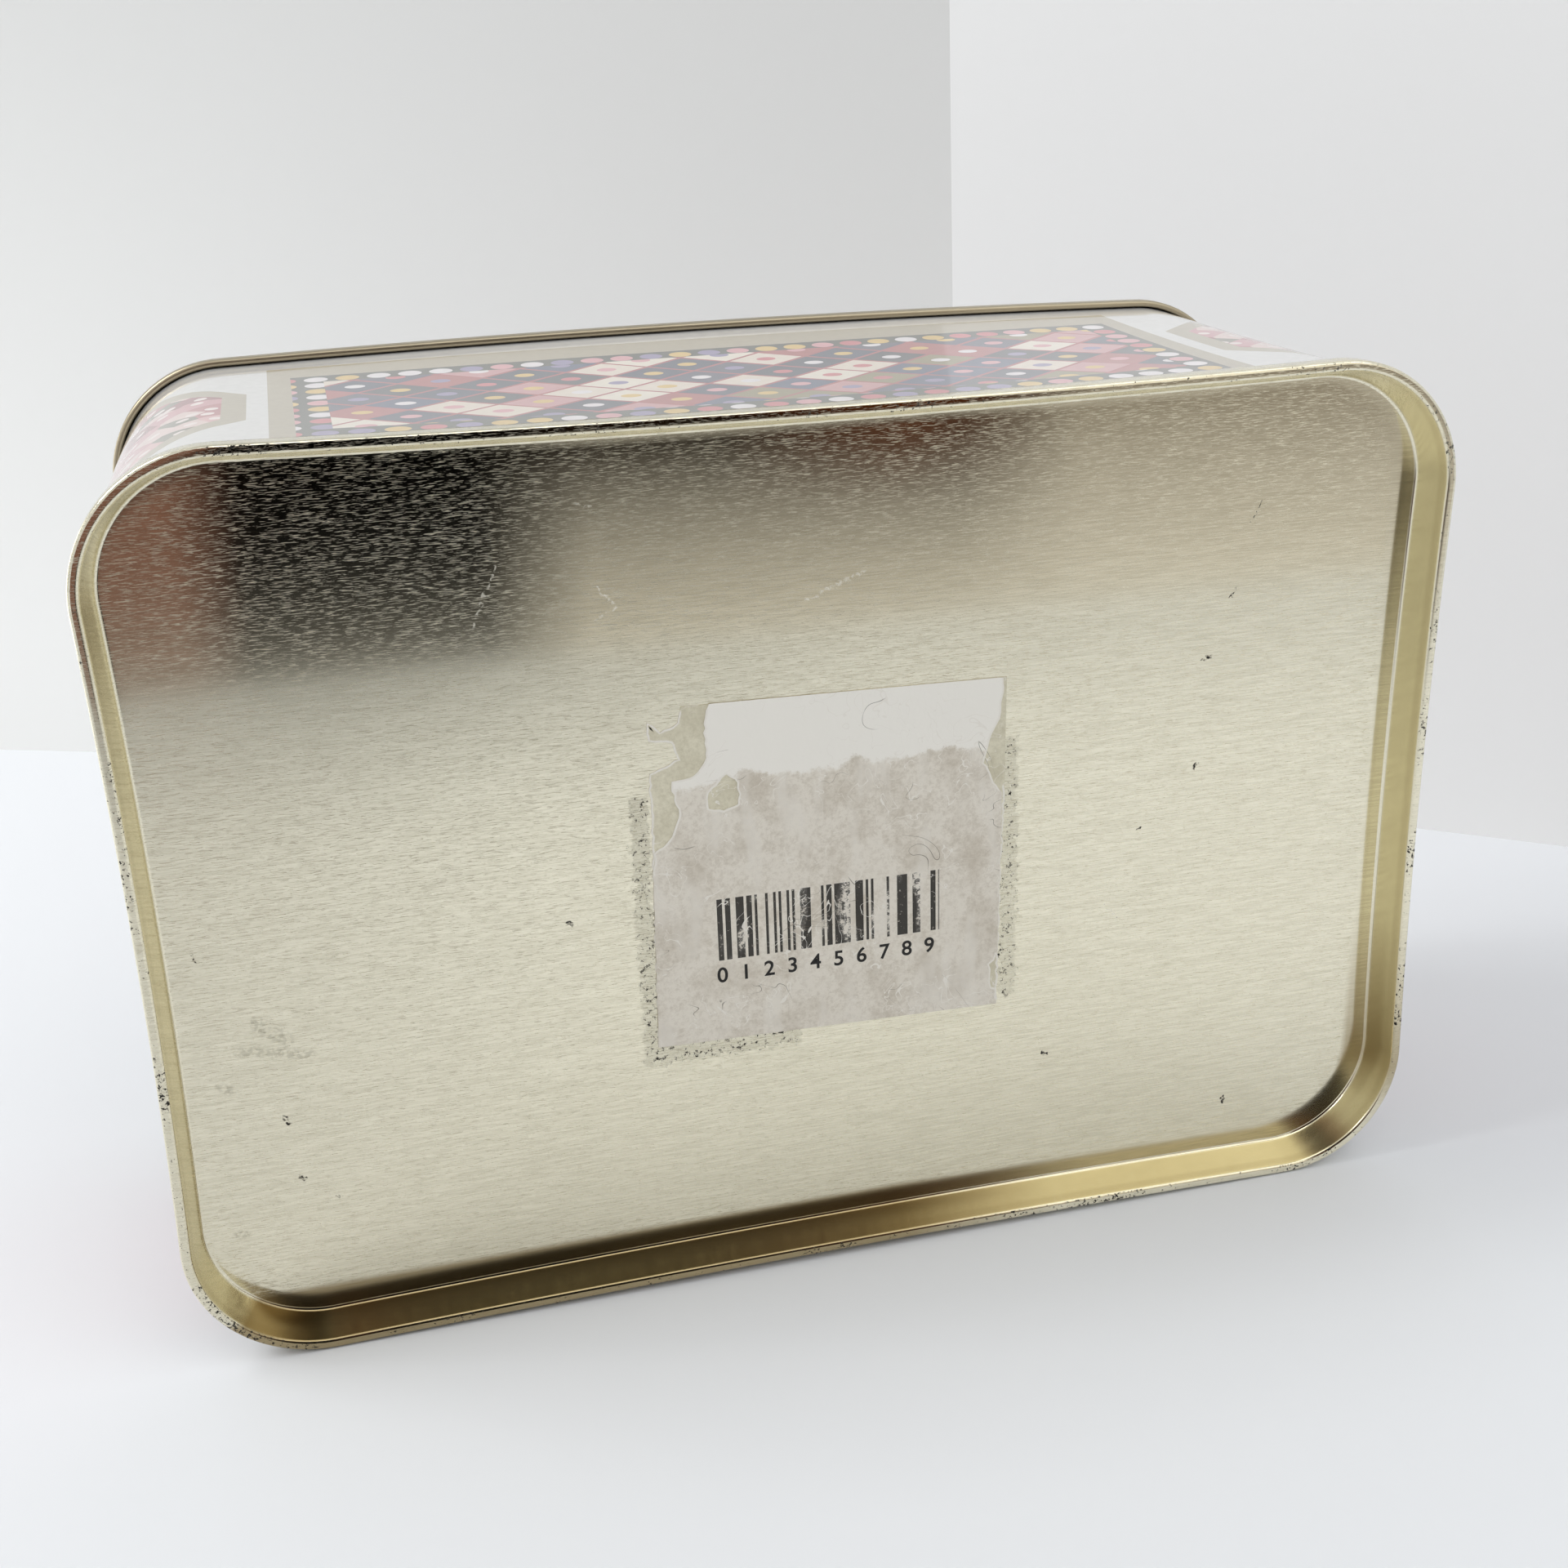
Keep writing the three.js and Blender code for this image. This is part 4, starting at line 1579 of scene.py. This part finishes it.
@dataclass
class Studio:
    """Pale table and walls, soft lamps and the camera, round a box that lies on its rear."""

    table_colour: str = "#e3e5e8"
    # Each wall's colour low down, then high up. The left wall's darker top is painted shade.
    wall_colours_and_shade: tuple[tuple[str, str], ...] = (("#e9e9e7", "#c4c4c2"), ("#eaeae9", "#e8e8e7"))
    tilt: float = math.atan(2.15 / 60)
    foot: tuple[float, float, float] = (0.0, 58.9, 2.0)
    wall_points: tuple[Point, ...] = ((-1500.0, 957.0), (86.0, 191.0), (900.0, -550.0))
    wall_high: float = 4000.0
    half_room: float = 1500.0
    opening_half: float = 75.0
    opening_deep: Point = (3.0, 74.0)
    card_away: float = -262.0

    def build(self) -> None:
        """Sets up the whole studio."""
        self._table()
        self._walls()
        self._shelf()
        self._mirrored_room()
        self._mirrored_table()
        self._lamps()
        self._world()
        self._camera()

    def _one_sided(self, name: str, colour: str, high_shade: str | None = None) -> bpy.types.Material:
        """Makes a matt finish that isn't there when it is seen from behind.

        Args:
            name: the material's name.
            colour: its colour.
            high_shade: its painted shade high up, darker towards the top, if it has one.

        Returns:
            The material.
        """
        material, desk, shader = new_material(name)
        paint = srgb(colour)
        if high_shade:
            # Painted shade: the wall darkens towards the top.
            rise = desk.add("MapRange", desk.axes["Y"], 40.0, -300.0)
            paint = desk.wash(paint, rise, 1.0, high_shade)
        desk.feed(shader, {"Base Color": paint, "Roughness": 0.6, "Specular IOR Level": 0.3})
        back = desk.add("NewGeometry").outputs["Backfacing"]
        both = desk.add("MixShader", back, shader, desk.add("BsdfTransparent"))
        desk.feed(desk.tree.nodes["Material Output"], {"Surface": both})
        return material

    def _plane(self, name: str, corners: list[Vector], material: bpy.types.Material) -> bpy.types.Object:
        """Adds a stage plane.

        Args:
            name: its name.
            corners: its four corners in order, in millimetres.
            material: its finish.

        Returns:
            The plane.
        """
        select_only()
        bpy.ops.mesh.primitive_plane_add(size=1)
        plane = bpy.context.active_object
        plane.name = name
        for index, spot in zip((0, 1, 3, 2), corners):
            plane.data.vertices[index].co = spot * MM
        plane.data.materials.append(material)
        return plane

    def _table(self) -> None:
        """Lays the table under the box's rear side, open where the box hides it so that the rear gets light."""
        ahead = Vector((0, math.sin(self.tilt), math.cos(self.tilt)))
        right, foot = Vector((1, 0, 0)), Vector(self.foot)
        paint = self._one_sided("matt white table", self.table_colour)
        room, half, (near_z, far_z) = self.half_room, self.opening_half, self.opening_deep
        for number, (left, start, end, stop) in enumerate((
            (-room, -1400, room, near_z), (-room, far_z, room, room),
            (-room, near_z, -half, far_z), (half, near_z, room, far_z),
        )):
            spots = [
                foot + right * x + ahead * z
                for x, z in ((left, start), (end, start), (end, stop), (left, stop))
            ]
            self._plane(f"table_{number}", spots, paint)

    def _walls(self) -> None:
        """Stands two walls behind the box, which meet at a fold. The left wall has painted shade, darker
        towards the top.
        """
        up = Vector((0, -math.cos(self.tilt), math.sin(self.tilt)))
        for number, (start, end) in enumerate(zip(self.wall_points, self.wall_points[1:])):
            feet = [Vector((x, self.foot[1] + math.tan(self.tilt) * z, z)) for x, z in (start, end)]
            low = [f - up * 5 for f in feet]
            high = [f + up * self.wall_high for f in feet]
            paint = self._one_sided(f"matt white wall {number}", *self.wall_colours_and_shade[number])
            self._plane(f"wall_{number}", [low[0], low[1], high[1], high[0]], paint)

    def _shelf(self) -> None:
        """Lays a floor under the upright box, which only the camera sees."""
        half = self.half_room
        spots = [Vector((x, y, -0.2)) for x, y in ((-half, -half), (half, -half), (half, half), (-half, half))]
        shelf = self._plane("floor", spots, self._one_sided("matt white floor", self.table_colour))
        self._hide(shelf, "diffuse", "glossy")

    def _mirrored_room(self) -> None:
        """Stands a card before the box that only its gloss shows: the dim room behind the photographer.

        Each zone of the room has a colour below and above, the power of the rise between them, and
        the places along X where it starts and is full. The first one lies everywhere.
        """
        material, desk, shader = new_material("mirrored room")
        across, down = desk.axes["X"], desk.axes["Y"]
        rise = desk.add("MapRange", down, -5.0, 56.0)
        colour = (0.0, 0.0, 0.0, 1.0)
        for low, high, power, edge in (
            ("#958e85", "#dbd8d3", 0.75, (-1001.0, -1000.0)),
            ("#150a02", "#d3cfc8", 0.8, (152.0, 116.0)),
            ("#010101", "#8e8c88", 3.4, (12.0, -16.0)),
            ("#7c5c51", "#a09b96", 3.0, (-78.0, -94.0)),
        ):
            share = desk.add("Math", rise, power, operation="POWER")
            zone = desk.add("Mix", share, srgb(low), srgb(high), data_type="RGBA")
            colour = desk.add("Mix", desk.add("MapRange", across, *edge), colour, zone, data_type="RGBA")
        window = desk.add(
            "Math", desk.add("MapRange", across, 118.0, 150.0), desk.add("MapRange", down, -40.0, -90.0),
            operation="MULTIPLY",
        )
        colour = desk.wash(colour, window, 1.0, "#fffaf0")
        timber = desk.add(
            "Math", desk.near(across, 98.0, 50.0, 1.0), desk.add("MapRange", down, 16.0, -4.0),
            operation="MULTIPLY",
        )
        desk.feed(shader, {
            "Emission Color": desk.wash(colour, timber, 0.92, "#52280a"),
            "Emission Strength": 1.0,
            "Base Color": (0.0, 0.0, 0.0, 1.0),
            "Specular IOR Level": 0.0,
        })
        corners = ((-200, 60), (330, 60), (330, -560), (-200, -560))
        card = self._plane("mirrored_room", [Vector((x, y, self.card_away)) for x, y in corners], material)
        self._hide(card, "camera", "diffuse")

    def _mirrored_table(self) -> None:
        """Lays a skin on the table that only gloss shows: the table dims towards the photographer's shadow."""
        material, desk, shader = new_material("mirrored table")
        table = srgb(self.table_colour)
        dark, dim, lit = ((*(part * share for part in table[:3]), 1.0) for share in (0.55, 0.84, 1.04))
        across = desk.axes["X"]
        away = desk.add("MapRange", desk.axes["Z"], -130.0, -275.0, interpolation_type="SMOOTHSTEP")
        far = desk.add("Mix", desk.add("MapRange", across, -60.0, 80.0), dark, dim, data_type="RGBA")
        close = desk.add("Mix", desk.add("MapRange", across, -20.0, -100.0), lit, dim, data_type="RGBA")
        colour = desk.add("Mix", away, close, far, data_type="RGBA")
        desk.feed(shader, {"Base Color": colour, "Roughness": 0.6})
        level, slope = self.foot[1] - 0.2, math.tan(self.tilt)
        corners = ((-420, -1), (330, -1), (330, self.card_away), (-420, self.card_away))
        skin = self._plane("mirrored_table", [Vector((x, level + slope * z, z)) for x, z in corners], material)
        self._hide(skin, "camera", "diffuse")

    def _hide(self, plane: bpy.types.Object, *rays: str) -> None:
        """Hides a plane from some kinds of rays, and always from those that light passes through or is cut by.

        Args:
            plane: the plane.
            rays: the kinds of rays that don't see it.
        """
        for ray in (*rays, "transmission", "volume_scatter", "shadow"):
            setattr(plane, "visible_" + ray, False)

    def _lamps(self) -> None:
        """Hangs soft lamps above the left rear, the front and the left, and a weak one low at the left."""
        for name, spot, size, watts in (
            ("lamp_main", (-620, -950, 260), 300, 2.0),
            ("lamp_front", (300, -900, -500), 1100, 4.2),
            ("lamp_side", (-1100, -1000, 60), 450, 6.0),
            ("lamp_low", (-350, -40, 170), 200, 0.18),
        ):
            bpy.ops.object.light_add(type="AREA", location=Vector(spot) * MM)
            lamp = bpy.context.active_object
            lamp.name = name
            lamp.data.size = size * MM
            lamp.data.energy = watts
            lamp.rotation_euler = (-Vector(spot)).to_track_quat("-Z", "Y").to_euler()

    def _world(self) -> None:
        """Lights the scene evenly from all round, and shows the camera a pale ground."""
        world = bpy.data.worlds.new("studio air")
        world.use_nodes = True
        bpy.context.scene.world = world
        desk = NodeDesk(world.node_tree)
        path = desk.add("LightPath")
        seen = desk.add("Background", srgb("#e2e2e1"), 1.0)
        light = desk.add("Background", (0.96, 0.98, 1.0, 1.0), 0.52)
        mirrored = desk.add("Background", (0.98, 0.99, 1.0, 1.0), 0.74)
        lit = desk.add("MixShader", path.outputs["Is Glossy Ray"], light, mirrored)
        both = desk.add("MixShader", path.outputs["Is Camera Ray"], lit, seen)
        desk.feed(desk.tree.nodes["World Output"], {"Surface": both})

    def _camera(self) -> None:
        """Puts the camera where the photograph was taken from."""
        right = Vector((0.966, 0.031, -0.256))
        up = Vector((0.119, -0.934, 0.337))
        back = Vector((-0.228, -0.356, -0.906))
        picture_wide, focal_length = 1920, 2267.27
        data = bpy.data.cameras.new("camera")
        data.sensor_width = 36.0
        data.lens = data.sensor_width * focal_length / picture_wide
        data.clip_start = 0.01
        camera = bpy.data.objects.new("camera", data)
        bpy.context.scene.collection.objects.link(camera)
        camera.location = Vector((-58.4, -93.8, -208.5)) * MM
        camera.rotation_mode = "QUATERNION"
        camera.rotation_quaternion = Matrix((right, up, back)).transposed().to_quaternion()
        bpy.context.scene.camera = camera


def main() -> None:
    """Builds the studio and the box, and reports each piece."""
    logging.basicConfig(level=logging.INFO, format="%(name)s: %(message)s", stream=sys.stdout)
    bpy.context.scene.view_settings.view_transform = "Standard"
    Studio().build()
    outline, seam = BoxOutline(), DoubleSeam()
    makers = [BottomEnd(outline, seam), BodyShell(outline, seam), Lid(outline), *sticker_plies()]
    for maker in makers:
        piece = maker.build()
        LOG.info("%s: %d faces", piece.name, len(piece.data.polygons))


if __name__ == "__main__":
    main()
